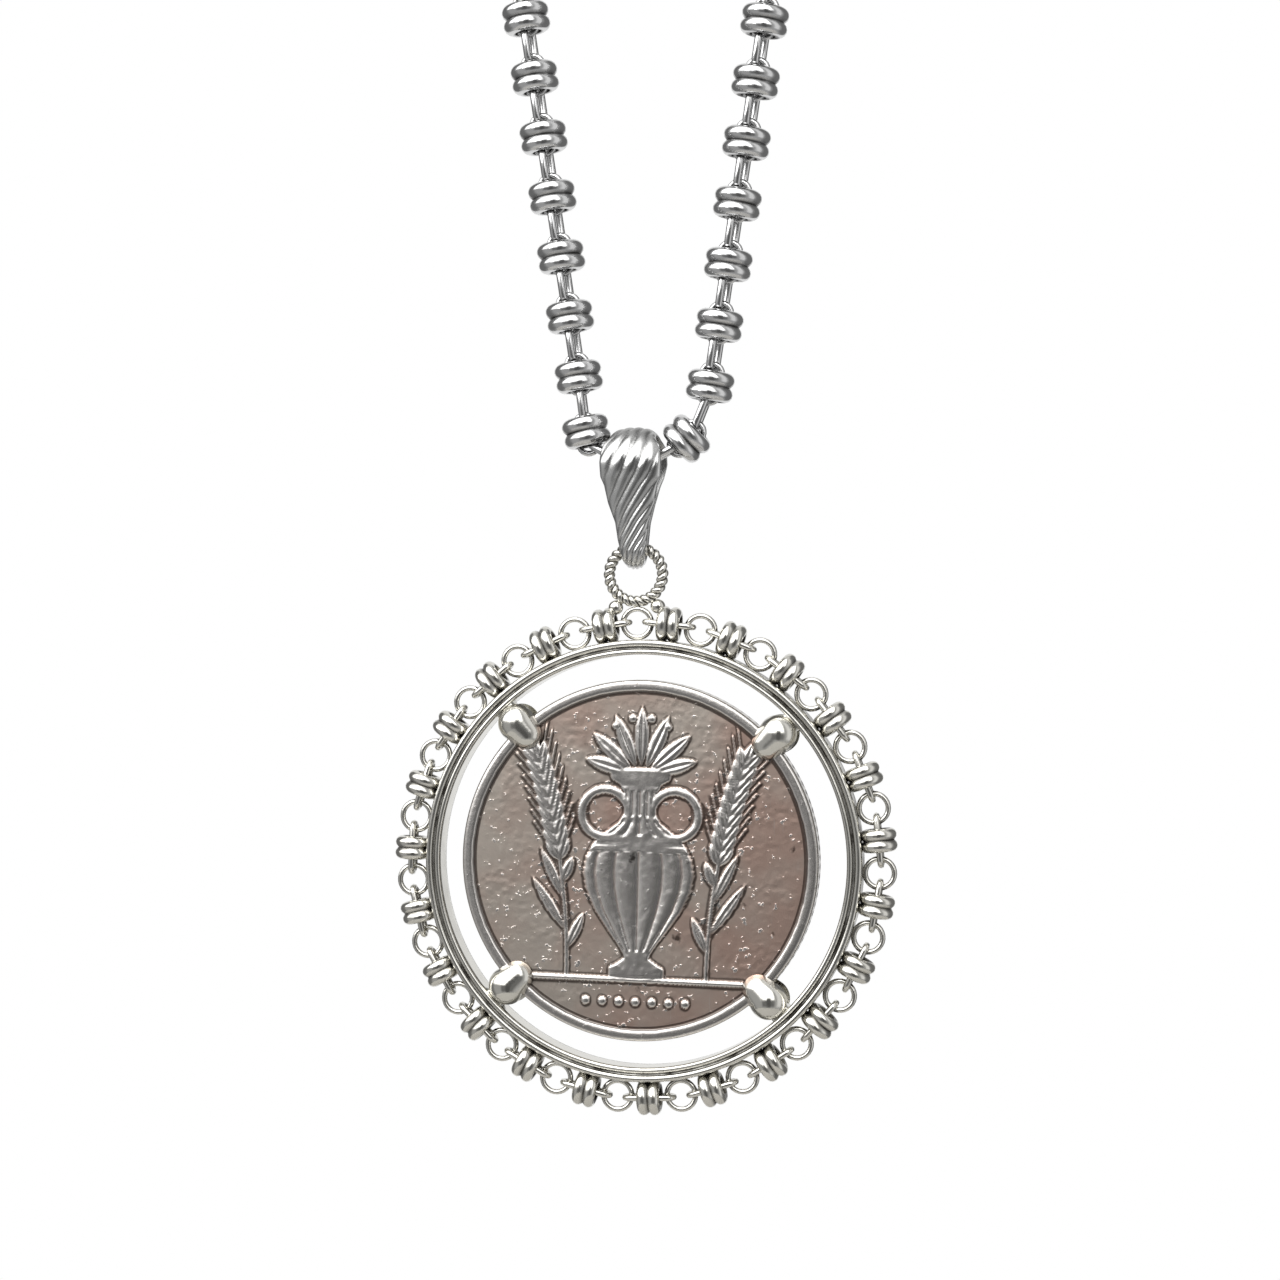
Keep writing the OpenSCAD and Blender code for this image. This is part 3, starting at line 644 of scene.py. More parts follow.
# %% The points of the beads and links
route_ends = {}
clouds = {}
for side, mirror in (("right", 1), ("left", -1)):
    walk, angle, ends, lean = joints_of(side)
    places, turns, parts = [], [], []
    for i in range(1, len(walk)):
        way = np.array([math.cos(angle[i]), math.sin(angle[i])])
        middle = ends[i - 1] + way * (core_step if i % 2 == 0 else join_step) / 2
        slide = ROUTES[side][2] if i == 2 else -BEAD_SLIDE
        link_kind = END if i == len(walk) - 1 else JOIN
        bead_and_core = [(BEAD, middle + slide * way), (CORE, middle)]
        for kind, at in bead_and_core if i % 2 == 0 else [(link_kind, middle)]:
            places.append((mirror * at[0], 0, at[1]))
            rolled = kind == JOIN and i > PLAIN_STEPS
            turns.append((-mirror * math.radians(JOIN_TURN) if rolled else 0, -mirror * angle[i], 0))
            parts.append(kind)
    if side == "right":
        places += [tuple(MID)] * 2
        turns += [(0, 0, 0)] * 2
        parts += [BEAD, CORE]
    cloud = bpy.data.meshes.new("points of the " + side)
    cloud.from_pydata(np.array(places) * MM, [], [])
    cloud.attributes.new("turn", "FLOAT_VECTOR", "POINT").data.foreach_set("vector", np.ravel(turns))
    cloud.attributes.new("part", "INT", "POINT").data.foreach_set("value", parts)
    clouds[side] = cloud
    route_ends[side] = Vector((mirror * ends[-1, 0], 0, ends[-1, 1]))
    print(side, "leans", round(lean, 3), "degrees and ends at", [round(c, 3) for c in route_ends[side]])

# %% [markdown]
# Both sides grow from the one tree with the same sizes. They ride on the body "necklace" and take the place
# of the fixed model's two chain nodes.

# %% The chain
for side, cloud in clouds.items():
    strand = grow("bead_chain_" + side, chain_tree, CHAIN_SILVER, cloud, Bead_across=BEAD_D,
                  Bead_length=BEAD_L, Bead_bore=BEAD_BORE, Core_length=CORE_L, Core_width=CORE_W,
                  Core_wire=CORE_WIRE, Join_length=join_l, Join_width=JOIN_W, Join_wire=JOIN_WIRE,
                  End_width=end_w)
    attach(strand, "necklace")
    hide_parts("chain_" + side)

# %% [markdown]
# The clasp is hidden in the picture. It is a plain oval ring with a thumb stud, of thicker wire, and it lies
# between the ends of the two sides.

# %% The tree of the clasp
clasp_tree, size = open_tree("clasp", "Length", "Width", "Wire", "Thumb")
ring = oval_link(clasp_tree, size["Length"], size["Width"], size["Wire"], path_n=46)
wire_in = add(clasp_tree, "ShaderNodeMath", {"operation": "MULTIPLY"}, {0: size["Wire"], 1: -0.5})
edge = add(clasp_tree, "ShaderNodeMath", {"operation": "MULTIPLY_ADD"},
           {0: size["Width"], 1: 0.5, 2: wire_in})
tip = add(clasp_tree, "ShaderNodeMath", {"operation": "MULTIPLY_ADD"},
          {0: size["Width"], 1: 0.5, 2: size["Thumb"]})
stud_foot = add(clasp_tree, "ShaderNodeCombineXYZ", None, {"Y": edge})
stud_tip = add(clasp_tree, "ShaderNodeCombineXYZ", None, {"Y": tip})
line = add(clasp_tree, "GeometryNodeCurvePrimitiveLine", None, {"Start": stud_foot, "End": stud_tip})
thin = add(clasp_tree, "ShaderNodeMath", {"operation": "MULTIPLY"}, {0: size["Wire"], 1: 0.8})
stud = wire(clasp_tree, line, thin, round_n=16)
stud.inputs["Fill Caps"].default_value = True
close_tree(clasp_tree, [ring, stud], size["Metal"])
print("clasp tree", len(clasp_tree.nodes), "nodes")

# %% The clasp in its place
gap = route_ends["right"] - route_ends["left"]
tilt = math.atan2(gap.z, gap.x)
middle = (route_ends["right"] + route_ends["left"]) / 2
clasp = grow("clasp_ring", clasp_tree, CHAIN_SILVER,
             place=Matrix.Translation(Vector((middle.x, 0, middle.z)) * MM) @ Matrix.Rotation(-tilt, 4, "Y")
             @ Matrix.Rotation(math.pi / 2, 4, "X"),
             Length=gap.length + CLASP_W, Width=CLASP_W, Wire=CLASP_WIRE, Thumb=THUMB_L)
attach(clasp, "necklace")
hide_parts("clasp")

# %% [markdown]
# The setting is soldered from drawn wire and tube: a round band with a bead of wire on each edge, and a
# border of round rings and short double-ring beads, with a small link through each bead. The border is one
# tree: its points go round in even steps, and rings and beads take turns on them.

# %% The shapes of the border
border_tree, size = open_tree("border", "Count", "Radius", "Ring radius", "Ring wire", "Bead across",
                              "Bead length", "Bead bore", "Link length", "Link width", "Link wire")
circle = add(border_tree, "GeometryNodeCurvePrimitiveCircle", None,
             {"Resolution": 28, "Radius": size["Ring radius"]})
eye = add(border_tree, "GeometryNodeTransform", None,
          {"Geometry": wire(border_tree, circle, size["Ring wire"]), "Rotation": UPRIGHT})
bead = double_bead(border_tree, size["Bead across"], size["Bead length"], size["Bead bore"], 24, 30)
tie = oval_link(border_tree, size["Link length"], size["Link width"], size["Link wire"])
stud = add(border_tree, "GeometryNodeJoinGeometry", None, {0: bead})
border_tree.links.new(tie.outputs[0], stud.inputs[0])
print("a ring, and a bead with its link")

# %% The tree of the border
number = add(border_tree, "GeometryNodeInputIndex")
half_turns = add(border_tree, "ShaderNodeMath", {"operation": "MULTIPLY"}, {0: number, 1: math.pi})
angle = add(border_tree, "ShaderNodeMath", {"operation": "DIVIDE"}, {0: half_turns, 1: size["Count"]})
sine = add(border_tree, "ShaderNodeMath", {"operation": "SINE"}, {0: angle})
cosine = add(border_tree, "ShaderNodeMath", {"operation": "COSINE"}, {0: angle})
outward = add(border_tree, "ShaderNodeCombineXYZ", None, {"X": sine, "Z": cosine})
spot = add(border_tree, "ShaderNodeVectorMath", {"operation": "SCALE"},
           {0: outward, "Scale": size["Radius"]})
double = add(border_tree, "ShaderNodeMath", {"operation": "MULTIPLY"}, {0: size["Count"], 1: 2})
round_points = add(border_tree, "GeometryNodePoints", None, {"Count": double, "Position": spot})
facing_out = add(border_tree, "ShaderNodeCombineXYZ", None, {"Y": angle})
odd = add(border_tree, "ShaderNodeMath", {"operation": "MODULO"}, {0: number, 1: 2})
even = add(border_tree, "ShaderNodeMath", {"operation": "SUBTRACT"}, {0: 1, 1: odd})
rows = [add(border_tree, "GeometryNodeInstanceOnPoints", None,
            {"Points": round_points, "Selection": pick, "Instance": shape, "Rotation": facing_out})
        for pick, shape in ((even, eye), (odd, stud))]
close_tree(border_tree, rows, size["Metal"])
print("border tree", len(border_tree.nodes), "nodes")

# %% The border
eye_r = (EYE_D - EYE_WIRE) / 2
cross = border_r * math.sin(step) - math.sqrt(eye_r ** 2 - (border_r * (1 - math.cos(step))) ** 2)
tie_l = 2 * (cross + EYE_WIRE / 2 + TIE_GAP + TIE_WIRE)
border = grow("pierced_border", border_tree, SETTING_SILVER, place=HANG, Count_n=BORDER_N, Radius=border_r,
              Ring_radius=eye_r, Ring_wire=EYE_WIRE, Bead_across=STUD_D, Bead_length=STUD_L,
              Bead_bore=STUD_BORE, Link_length=tie_l, Link_width=TIE_W, Link_wire=TIE_WIRE)

# %% [markdown]
# The twisted ring is two wires wound round each other and bent into a ring. Each wire follows a circle whose
# points are pushed off it in a direction that turns as they go round: twelve turns for each wire give the
# twenty-four lobes that the eye counts. Skin near the rail of the ring is in the groove of the twist, and
# takes tarnish and painted shade.

# %% The tree of the twisted ring
rope_tree, size = open_tree("twisted ring", "Radius", "Strand radius", "Turns")
strands = []
for phase in (0, math.pi):
    path = add(rope_tree, "GeometryNodeCurvePrimitiveCircle", None, {"Resolution": 288, "Radius": 1})
    spot = add(rope_tree, "ShaderNodeSeparateXYZ", None, {0: add(rope_tree, "GeometryNodeInputPosition")})
    round_a = add(rope_tree, "ShaderNodeMath", {"operation": "ARCTAN2"},
                  {0: spot.outputs["Y"], 1: spot.outputs["X"]})
    wound = add(rope_tree, "ShaderNodeMath", {"operation": "MULTIPLY_ADD"},
                {0: round_a, 1: size["Turns"], 2: phase})
    cosine = add(rope_tree, "ShaderNodeMath", {"operation": "COSINE"}, {0: wound})
    sine = add(rope_tree, "ShaderNodeMath", {"operation": "SINE"}, {0: wound})
    far = add(rope_tree, "ShaderNodeMath", {"operation": "MULTIPLY_ADD"},
              {0: cosine, 1: size["Strand radius"], 2: size["Radius"]})
    lift = add(rope_tree, "ShaderNodeMath", {"operation": "MULTIPLY"}, {0: sine, 1: size["Strand radius"]})
    outward = add(rope_tree, "ShaderNodeCombineXYZ", None, {"X": spot.outputs["X"], "Z": spot.outputs["Y"]})
    flat = add(rope_tree, "ShaderNodeVectorMath", {"operation": "SCALE"}, {0: outward, "Scale": far})
    lifted = add(rope_tree, "ShaderNodeCombineXYZ", None, {"Y": lift})
    place = add(rope_tree, "ShaderNodeVectorMath", {"operation": "ADD"}, {0: flat, 1: lifted})
    coil = add(rope_tree, "GeometryNodeSetPosition", None, {"Geometry": path, "Position": place})
    thick = add(rope_tree, "ShaderNodeMath", {"operation": "MULTIPLY"}, {0: size["Strand radius"], 1: 2})
    skin = wire(rope_tree, coil, thick, round_n=12)
    here = add(rope_tree, "GeometryNodeInputPosition")
    level = add(rope_tree, "ShaderNodeVectorMath", {"operation": "MULTIPLY"}, {0: here, 1: (1, 0, 1)})
    bearing = add(rope_tree, "ShaderNodeVectorMath", {"operation": "NORMALIZE"}, {0: level})
    at_rail = add(rope_tree, "ShaderNodeVectorMath", {"operation": "SCALE"},
                  {0: bearing, "Scale": size["Radius"]})
    off = add(rope_tree, "ShaderNodeVectorMath", {"operation": "DISTANCE"}, {0: here, 1: at_rail})
    # Tarnish and painted shade in the groove of the twist.
    deep = add(rope_tree, "ShaderNodeMapRange", None, {"Value": off.outputs["Value"], "From Min": 0.28 * MM,
                                                       "From Max": 0.4 * MM, "To Min": 1, "To Max": 0})
    marked = add(rope_tree, "GeometryNodeStoreNamedAttribute", {"data_type": "FLOAT", "domain": "POINT"},
                 {"Geometry": skin, "Name": "hollow", "Value": deep})
    strands.append(marked)
close_tree(rope_tree, strands, size["Metal"])
print("twisted ring tree", len(rope_tree.nodes), "nodes")

# %% The twisted ring
rope = grow("twisted_ring", rope_tree, SETTING_SILVER, Radius=rope_r, Strand_radius=ROPE_WIRE / 4,
            Turns_n=ROPE_LOBES / 2, place=HANG @ Matrix.Translation((0, 0, rope_rise * MM)))

# %% [markdown]
# The band is turned: one outline goes once round the coin. On each face a bead of wire lies along the outer
# edge and a finer lip along the bore, and tarnish with painted shade lies in the groove between them. The
# band's outside, behind the border, gets painted shade.

# %% Outlines on a lathe
def arc(x, y, r, start, end, n):
    a = np.radians(np.linspace(start, end, n))
    return np.stack([x + r * np.cos(a), y + r * np.sin(a)], 1)


def lathe(outline, segments):
    """Points of an outline of (radius, height) turned about the Y axis, ring after ring."""
    a = np.linspace(0, 2 * math.pi, segments, endpoint=False)[:, None]
    r, y = outline[:, 0][None, :], outline[:, 1][None, :]
    return np.stack([r * np.sin(a), y + 0 * a, r * np.cos(a)], -1).reshape(-1, 3)


print("an outline of two points turned in four steps:", len(lathe(np.ones((2, 2)), 4)), "points")

# %% The band of the setting
face = RING_DEPTH / 2
floor_y = face - RING_LIP_R
front = np.concatenate([
    [(ring_r, floor_y - 0.3), (ring_r, floor_y)],
    arc(ring_r + RING_LIP_R + 0.02, face - RING_LIP_R, RING_LIP_R, 172, 8, 9),
    [(ring_r + 2 * RING_LIP_R + 0.03, floor_y - 0.03), (band_r - 2 * RING_BEAD_R - 0.03, floor_y - 0.03)],
    arc(band_r - RING_BEAD_R - 0.02, face - RING_BEAD_R, RING_BEAD_R, 166, 0, 11),
    [(band_r, face - RING_BEAD_R - 0.06), (band_r, floor_y - 0.3)],
])
outline = np.concatenate([front, front[::-1] * (1, -1)])
# The hollow of the band: tarnish and painted shade in the groove, painted shade on the outside behind the
# border.
groove = np.zeros(len(front))
groove[10:13] = 1  # from the lip's foot to the bead's
groove[-1] = 0.7  # the band's outside, behind the border
SEGMENTS = 240
band_points = lathe(outline, SEGMENTS)
band = piece_from("setting_band", band_points, grid_faces(SEGMENTS, len(outline)), SETTING_SILVER, HANG,
                  hollow=np.tile(np.concatenate([groove, groove[::-1]]), SEGMENTS))

# %% [markdown]
# A claw is half an egg on the coin's face, with its narrow end towards the middle, front and back alike, and
# a post between the two goes through the gap to the band. The egg is measured from above: for each point of
# its footprint the height follows from a round section about a sunken axis.

# %% The height of an egg
TIP_SHARE = 0.82
blunt = CLAW_W / 2
tip_r = blunt * TIP_SHARE
span = CLAW_L - blunt - tip_r
sink = blunt - CLAW_H
slope = math.asin((blunt - tip_r) / span)


def egg_height(x, y):
    """Height of the egg over a point of the coin's face; below zero it isn't there."""
    at_tip = np.sqrt(np.clip(tip_r ** 2 - (x + span) ** 2, 0, None))
    at_blunt = np.sqrt(np.clip(blunt ** 2 - x ** 2, 0, None))
    share = (x + span + tip_r * math.sin(slope)) / (span + (tip_r - blunt) * math.sin(slope))
    flank = (tip_r + (blunt - tip_r) * share) * math.cos(slope)
    section = np.where(share < 0, at_tip, np.where(share > 1, at_blunt, flank))
    room = section ** 2 - y ** 2
    return np.where(room > 0, np.sqrt(np.clip(room, 0, None)) - sink, -1)


print("egg", round(float(egg_height(0.0, 0.0)), 2), "mm high at its blunt end")

# %% The skin of an egg
CLAW_ROUND = 56
CLAW_STEPS = 18
HALVINGS = 30
a = np.linspace(0, 2 * math.pi, CLAW_ROUND, endpoint=False)
low, high = np.zeros(CLAW_ROUND), np.full(CLAW_ROUND, CLAW_L)
for _ in range(HALVINGS):
    reach = (low + high) / 2
    inside = egg_height(-span / 2 + reach * np.cos(a), reach * np.sin(a)) > 0
    low, high = np.where(inside, reach, low), np.where(inside, high, reach)
share = np.sin(np.linspace(1, 0, CLAW_STEPS, endpoint=False) * math.pi / 2)[:, None]
x, y = -span / 2 + share * reach * np.cos(a), share * reach * np.sin(a)
z = np.maximum(egg_height(x, y), 0)
egg = np.concatenate([
    np.stack([x[0], y[0], np.zeros(CLAW_ROUND)], 1)[None],
    np.stack([x, y, z], -1)[1:],
]).reshape(-1, 3)
egg = np.concatenate([egg, [(-span / 2, 0, egg_height(-span / 2, 0.0)), (-span / 2, 0, 0)]])
top, under = len(egg) - 2, len(egg) - 1
last = (CLAW_STEPS - 1) * CLAW_ROUND
egg_faces = grid_faces(CLAW_STEPS, CLAW_ROUND, wrap=False)
egg_faces += [(last + j, last + (j + 1) % CLAW_ROUND, top) for j in range(CLAW_ROUND)]
egg_faces += [((j + 1) % CLAW_ROUND, j, under) for j in range(CLAW_ROUND)]
print("egg", len(egg), "points,", len(egg_faces), "faces")

# %% Four claws, front and back
CLAW_N = 4


def claw_spin(i, size):
    """The turn about the coin's middle that takes a claw from the top to its place."""
    return Matrix.Rotation(math.radians(45 + 360 / CLAW_N * i - CLAW_TURN), size, "Y")


base = COIN_T / 2 + COIN_GAP
blunt_r = COIN_D / 2 - CLAW_HOLD + CLAW_L - blunt
post_in = COIN_D / 2 + COIN_GAP + COIN_SHIFT
claw_points, claw_faces = [], []
for i in range(CLAW_N):
    spin = claw_spin(i, 3)
    for side in (-1, 1):
        at = np.stack([-egg[:, 1], side * (egg[:, 2] + base), egg[:, 0] + blunt_r], 1)
        claw_faces += [tuple(k + len(claw_points) for k in f) for f in egg_faces]
        claw_points += [tuple(spin @ Vector(p)) for p in at]
print("claws", len(claw_points), "points before the posts")

# %% The posts, and the claws as one piece
POST_BITE = 0.3  # into the band
POST_RISE = 0.05  # into the two eggs
POST_ROUND = 0.22
claw_mesh = bpy.data.meshes.new("claws")
claw_mesh.from_pydata(np.array(claw_points), [], claw_faces)
shell = bmesh.new()
shell.from_mesh(claw_mesh)
bmesh.ops.recalc_face_normals(shell, faces=shell.faces)
long = ring_r - post_in + POST_BITE
post_size = Vector((POST_W, 2 * (base + POST_RISE), long))
post = Matrix.LocRotScale(Vector((0, 0, post_in + long / 2)), None, post_size)
for i in range(CLAW_N):
    made = bmesh.ops.create_cube(shell, size=1, matrix=claw_spin(i, 4) @ post)
    edges = {e for v in made["verts"] for e in v.link_edges}
    bmesh.ops.bevel(shell, geom=list(edges), offset=POST_ROUND, segments=4, profile=0.5, affect="EDGES")
shell.to_mesh(claw_mesh)
shell.free()
claw_mesh.transform(HANG @ Matrix.Scale(MM, 4))
claw_mesh.shade_smooth()
claw_mesh.set_sharp_from_angle(angle=math.radians(50))
claw_mesh.materials.append(SETTING_SILVER)
claws = bpy.data.objects.new("egg_claws", claw_mesh)
scene.collection.objects.link(claws)
print("egg_claws", len(claw_mesh.vertices), "points,", len(claw_mesh.polygons), "faces")

# %% [markdown]
# Two balls of solder fill the corners between the twisted ring and the first beads of the border, and a
# little solder lies under the ring. The five pieces of the setting then ride on the pendant's body.

# %% The solder
ball_x = border_r * math.sin(step) - STUD_L / 2 + SOLDER_BITE / 2
reach = ROPE_D / 2 + BALL_D / 2 - SOLDER_BITE
ball_z = rope_rise - math.sqrt(reach ** 2 - ball_x ** 2)
drops = [(s * ball_x, ball_z, BALL_D) for s in (-1, 1)]
drops += [(0, rope_rise - ROPE_D / 2 - ROPE_SEAT / 2, ROPE_SEAT + 4 * SOLDER_BITE)]
solder_mesh = bpy.data.meshes.new("solder_drops")
shell = bmesh.new()
for x, z, across in drops:
    place = Matrix.LocRotScale(Vector((x, 0, z)), None, Vector((1, 0.96, 0.98)))
    bmesh.ops.create_uvsphere(shell, u_segments=32, v_segments=20, radius=across / 2, matrix=place)
shell.to_mesh(solder_mesh)
shell.free()
solder_mesh.transform(HANG @ Matrix.Scale(MM, 4))
solder_mesh.shade_smooth()
solder_mesh.materials.append(SETTING_SILVER)
solder = bpy.data.objects.new("solder_drops", solder_mesh)
scene.collection.objects.link(solder)

for piece in (band, border, rope, claws, solder):
    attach(piece, "pendant")
    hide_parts("setting")
print("setting", [p.name for p in (band, border, rope, claws, solder)])

# %% [markdown]
# The bail is cast: a wide loop at the top that narrows to its foot, with slanting flutes all over its
# outside. It is one skin of points, ring after ring along the loop. A short table has a row for each share
# of
# the way down: the widths of the front and the back, and the metal inside, all of them shares of the
# greatest.

# %% The line of the bail
BAIL_TABLE = np.array([
    (0, 0.68, 0.68, 0.2), (0.12, 0.76, 0.76, 0.2), (0.19, 0.94, 0.88, 0.24), (0.3, 1, 0.89, 0.28),
    (0.4, 0.98, 0.78, 0.32), (0.46, 0.87, 0.68, 0.36), (0.59, 0.76, 0.53, 0.46), (0.73, 0.55, 0.4, 0.6),
    (0.86, 0.48, 0.36, 0.75), (0.95, 0.39, 0.33, 0.93), (1, 0.31, 0.31, 1)])
FLUTE_GAP = 0.46  # between two flutes, as a share of half the width
FLUTE_RISE = 0.17  # how far the flutes slant for a millimetre of the way
FLUTE_CURL = 0.0015  # and how much more towards the foot
BAIL_RINGS = 228
BAIL_ACROSS = 64
BAIL_IN = 14
bail_slope = math.asin((BAIL_R - FOOT_R) / BAIL_DROP)
top_arc = BAIL_R * (math.pi / 2 + bail_slope)
leg = BAIL_DROP * math.cos(bail_slope)
half_way = top_arc + leg + FOOT_R * (math.pi / 2 - bail_slope)


def bail_line(way):
    """A point of the inside line and the direction outward, at a distance down from the top."""
    if way < top_arc:
        a = way / BAIL_R
        return BAIL_R * math.sin(a), BAIL_R * math.cos(a), math.sin(a), math.cos(a)
    if way < top_arc + leg:
        a, w = math.pi / 2 + bail_slope, way - top_arc
        return (BAIL_R * math.sin(a) + w * math.cos(a), BAIL_R * math.cos(a) - w * math.sin(a),
                math.sin(a), math.cos(a))
    a = math.pi / 2 + bail_slope + (way - top_arc - leg) / FOOT_R
    return FOOT_R * math.sin(a), FOOT_R * math.cos(a) - BAIL_DROP, math.sin(a), math.cos(a)


print("half the way round the bail is", round(half_way, 2), "mm")

# %% The bail
points, hollows = [], []
for k in range(BAIL_RINGS):
    around = k / BAIL_RINGS
    back = around > 0.5
    way = half_way * (2 - 2 * around if back else 2 * around)
    y, z, ny, nz = bail_line(way)
    part = way / half_way
    half = BAIL_HALF * np.interp(part, BAIL_TABLE[:, 0], BAIL_TABLE[:, 2 if back else 1])
    inner = FOOT_IN * np.interp(part, BAIL_TABLE[:, 0], BAIL_TABLE[:, 3])
    outer = BAIL_T + (FOOT_T - BAIL_T) * part
    side = 1 if back else -1
    u = -np.cos(np.linspace(0, math.pi, BAIL_ACROSS + 1))
    wave = np.abs(np.sin(math.pi * (-u * side + FLUTE_RISE * way + FLUTE_CURL * way ** 3) / FLUTE_GAP))
    dome = np.clip(1 - u * u, 0, None) ** 0.42
    out = inner + outer * dome * (1 - FLUTE_SHARE + FLUTE_SHARE * wave ** 0.6)
    under = np.linspace(0, math.pi, BAIL_IN + 1, endpoint=False)[1:]
    across = np.concatenate([u, np.cos(under)]) * half
    height = np.concatenate([out, inner * (1 - np.sin(under))])
    points.append(np.stack([across, side * (y + height * ny), z + height * nz], 1))
    # Painted shade: the top of the loop is darkened, a painted dark reflection of the room above and behind
    # it.
    painted_dark_top = 0.6 * np.clip(2 - way / 1.3, 0, 1)
    # Tarnish and painted shade in the flutes, and half as much on the inside of the loop.
    in_flute = np.clip(1.2 - wave / 0.3, 0, 1) * dome
    hollows.append(np.concatenate([np.maximum(in_flute, painted_dark_top), 0.5 + 0 * under]))
bail = piece_from("fluted_bail", np.concatenate(points) + np.array(bail_place),
                  grid_faces(BAIL_RINGS, BAIL_ACROSS + BAIL_IN + 1), BAIL_SILVER,
                  hollow=np.concatenate(hollows))
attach(bail, "bail")
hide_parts("bail")

# %% [markdown]
# The coin is struck: a die pressed the picture into the blank, so every form swells softly out of the field
# and ends in a short rounded edge. A height for each point of a fine grid gives that. The picture is a plain
# jar with a sprig of leaves between two ears of grain. Each form has a "depth", the distance in from its
# outline, and one function turns depth into height.

# %% Leaves, bars and smooth chance
FIELD_R = COIN_D / 2 - RIM_W
GROUND = -0.7 * FIELD_R  # the line that the jar stands on


def swell(depth, edge):
    """From 0 at an outline to 1 where its edge has rounded over."""
    t = np.clip(depth / edge, 0, 1)
    return np.sqrt(1 - (1 - t) ** 2)


def local(x, y, foot, turn):
    c, s = math.cos(math.radians(turn)), math.sin(math.radians(turn))
    dx, dy = x - foot[0], y - foot[1]
    return dx * c + dy * s, dy * c - dx * s


def leaf(x, y, foot, turn, length, width):
    """A pointed leaf with a sunken vein, or a grain if it is small."""
    u, v = local(x, y, foot, turn)
    r = (length ** 2 + width ** 2) / 4 / width
    far_left = np.hypot(u - r + width / 2, v - length / 2)
    far_right = np.hypot(u + r - width / 2, v - length / 2)
    depth = r - np.maximum(far_left, far_right)
    return swell(depth, width * 0.42) * (1 - 0.5 * np.exp(-(u / (0.08 * width)) ** 2) * (depth > 0))


def bar(x, y, start, end, half):
    ax, ay, bx, by = *start, *end
    t = np.clip(((x - ax) * (bx - ax) + (y - ay) * (by - ay)) / ((bx - ax) ** 2 + (by - ay) ** 2), 0, 1)
    return half - np.hypot(x - ax - t * (bx - ax), y - ay - t * (by - ay))


def lattice(x, y, cell, seed):
    """Smooth random heights from 0 to 1, one for each crossing of a square lattice."""
    table = np.random.default_rng(seed).random((64, 64))
    u, v = x / cell, y / cell
    i, j = np.floor(u).astype(int), np.floor(v).astype(int)
    u, v = u - i, v - j
    u, v = u * u * (3 - 2 * u), v * v * (3 - 2 * v)
    low = table[i % 64, j % 64] * (1 - u) + table[(i + 1) % 64, j % 64] * u
    high = table[i % 64, (j + 1) % 64] * (1 - u) + table[(i + 1) % 64, (j + 1) % 64] * u
    return low * (1 - v) + high * v


print("field radius", round(FIELD_R, 2), "mm")

# %% [markdown]
# The jar is a table of shares: how far up, and how wide there. Its body has flutes, its neck and shoulder a
# few fine bands, and two round handles stand beside the neck. Seven leaves and four berries come out of it.

# %% The jar and its sprig
JAR_TALL = 1.25 * FIELD_R
JAR_HALF = 0.27 * JAR_TALL
JAR_TABLE = np.array([
    (0, 0.5), (0.05, 0.5), (0.075, 0.34), (0.1, 0.22), (0.14, 0.3), (0.22, 0.52), (0.32, 0.78),
    (0.42, 0.95), (0.5, 1), (0.57, 0.96), (0.64, 0.82), (0.7, 0.58), (0.74, 0.38), (0.78, 0.3),
    (0.88, 0.3), (0.92, 0.38), (0.945, 0.54), (0.985, 0.55), (1, 0.5)])
JAR_RIBS = 7
JAR_BANDS = (0.105, 0.615, 0.66, 0.76, 0.9)
SPRIG_LEAVES = ((-74, 3.7), (-48, 4.3), (-23, 4.5), (0, 4.7), (23, 4.5), (48, 4.3), (74, 3.7))
SPRIG_BERRIES = (-35, -12, 12, 35)


def jar(x, y):
    t = (y - GROUND) / JAR_TALL
    half = JAR_HALF * np.interp(t, JAR_TABLE[:, 0], JAR_TABLE[:, 1])
    q = np.clip(x / half, -1, 1)
    depth = np.minimum(half - np.abs(x), np.minimum(t, 1 - t) * JAR_TALL)
    ribs = np.abs(np.sin(np.arcsin(q) * JAR_RIBS)) ** 0.7
    fluted = ((t > 0.13) & (t < 0.6)) | ((t > 0.68) & (t < 0.89))
    body = (0.5 + 0.5 * np.sqrt(1 - q * q)) * np.where(fluted, 0.35 + 0.65 * ribs, 0.9)
    for at in JAR_BANDS:
        body = np.where(np.abs(t - at) < 0.011, np.maximum(body, 0.85), body)
    height = swell(depth, 0.22) * body
    for s in (-1, 1):
        far = np.hypot(x - s * JAR_HALF * 0.62, y - GROUND - 0.78 * JAR_TALL)
        ring = JAR_HALF * 0.08 - np.abs(far - JAR_HALF * 0.42)
        height = np.maximum(height, 0.85 * swell(ring, 0.3))
    return height


def sprig(x, y):
    mouth = GROUND + JAR_TALL
    height = np.zeros_like(x)
    for turn, length in SPRIG_LEAVES:
        foot = (-0.9 * math.sin(math.radians(turn)), mouth + 0.1 - abs(turn) / 160)
        height = np.maximum(height, leaf(x, y, foot, turn, length, 1.15))
    for turn in SPRIG_BERRIES:
        a = math.radians(turn)
        berry = 0.33 - np.hypot(x - 3.5 * math.sin(a), y - mouth - 3.9 * math.cos(a))
        height = np.maximum(height, 0.9 * swell(berry, 0.3))
    return height


print("jar", round(JAR_TALL, 1), "mm tall,", len(SPRIG_LEAVES), "leaves over it")

# %% [markdown]
# An ear has a stem that leans out on a wide arc, leaves low on it, and pairs of grains with awns. The left
# ear is the right one with its sides changed over.

# %% The ears of grain
EAR_TALL = 1.3 * FIELD_R
EAR_BEND = 3.2  # radius of the stem's arc, as a share of the height
STEM_STEPS = 12
GRAIN_ROWS = 9
# Share of the way up, turn in degrees and length as a share of the height
EAR_LEAVES = ((0.12, 24, 0.19), (0.2, -34, 0.3), (0.34, -26, 0.27), (0.42, 20, 0.13))


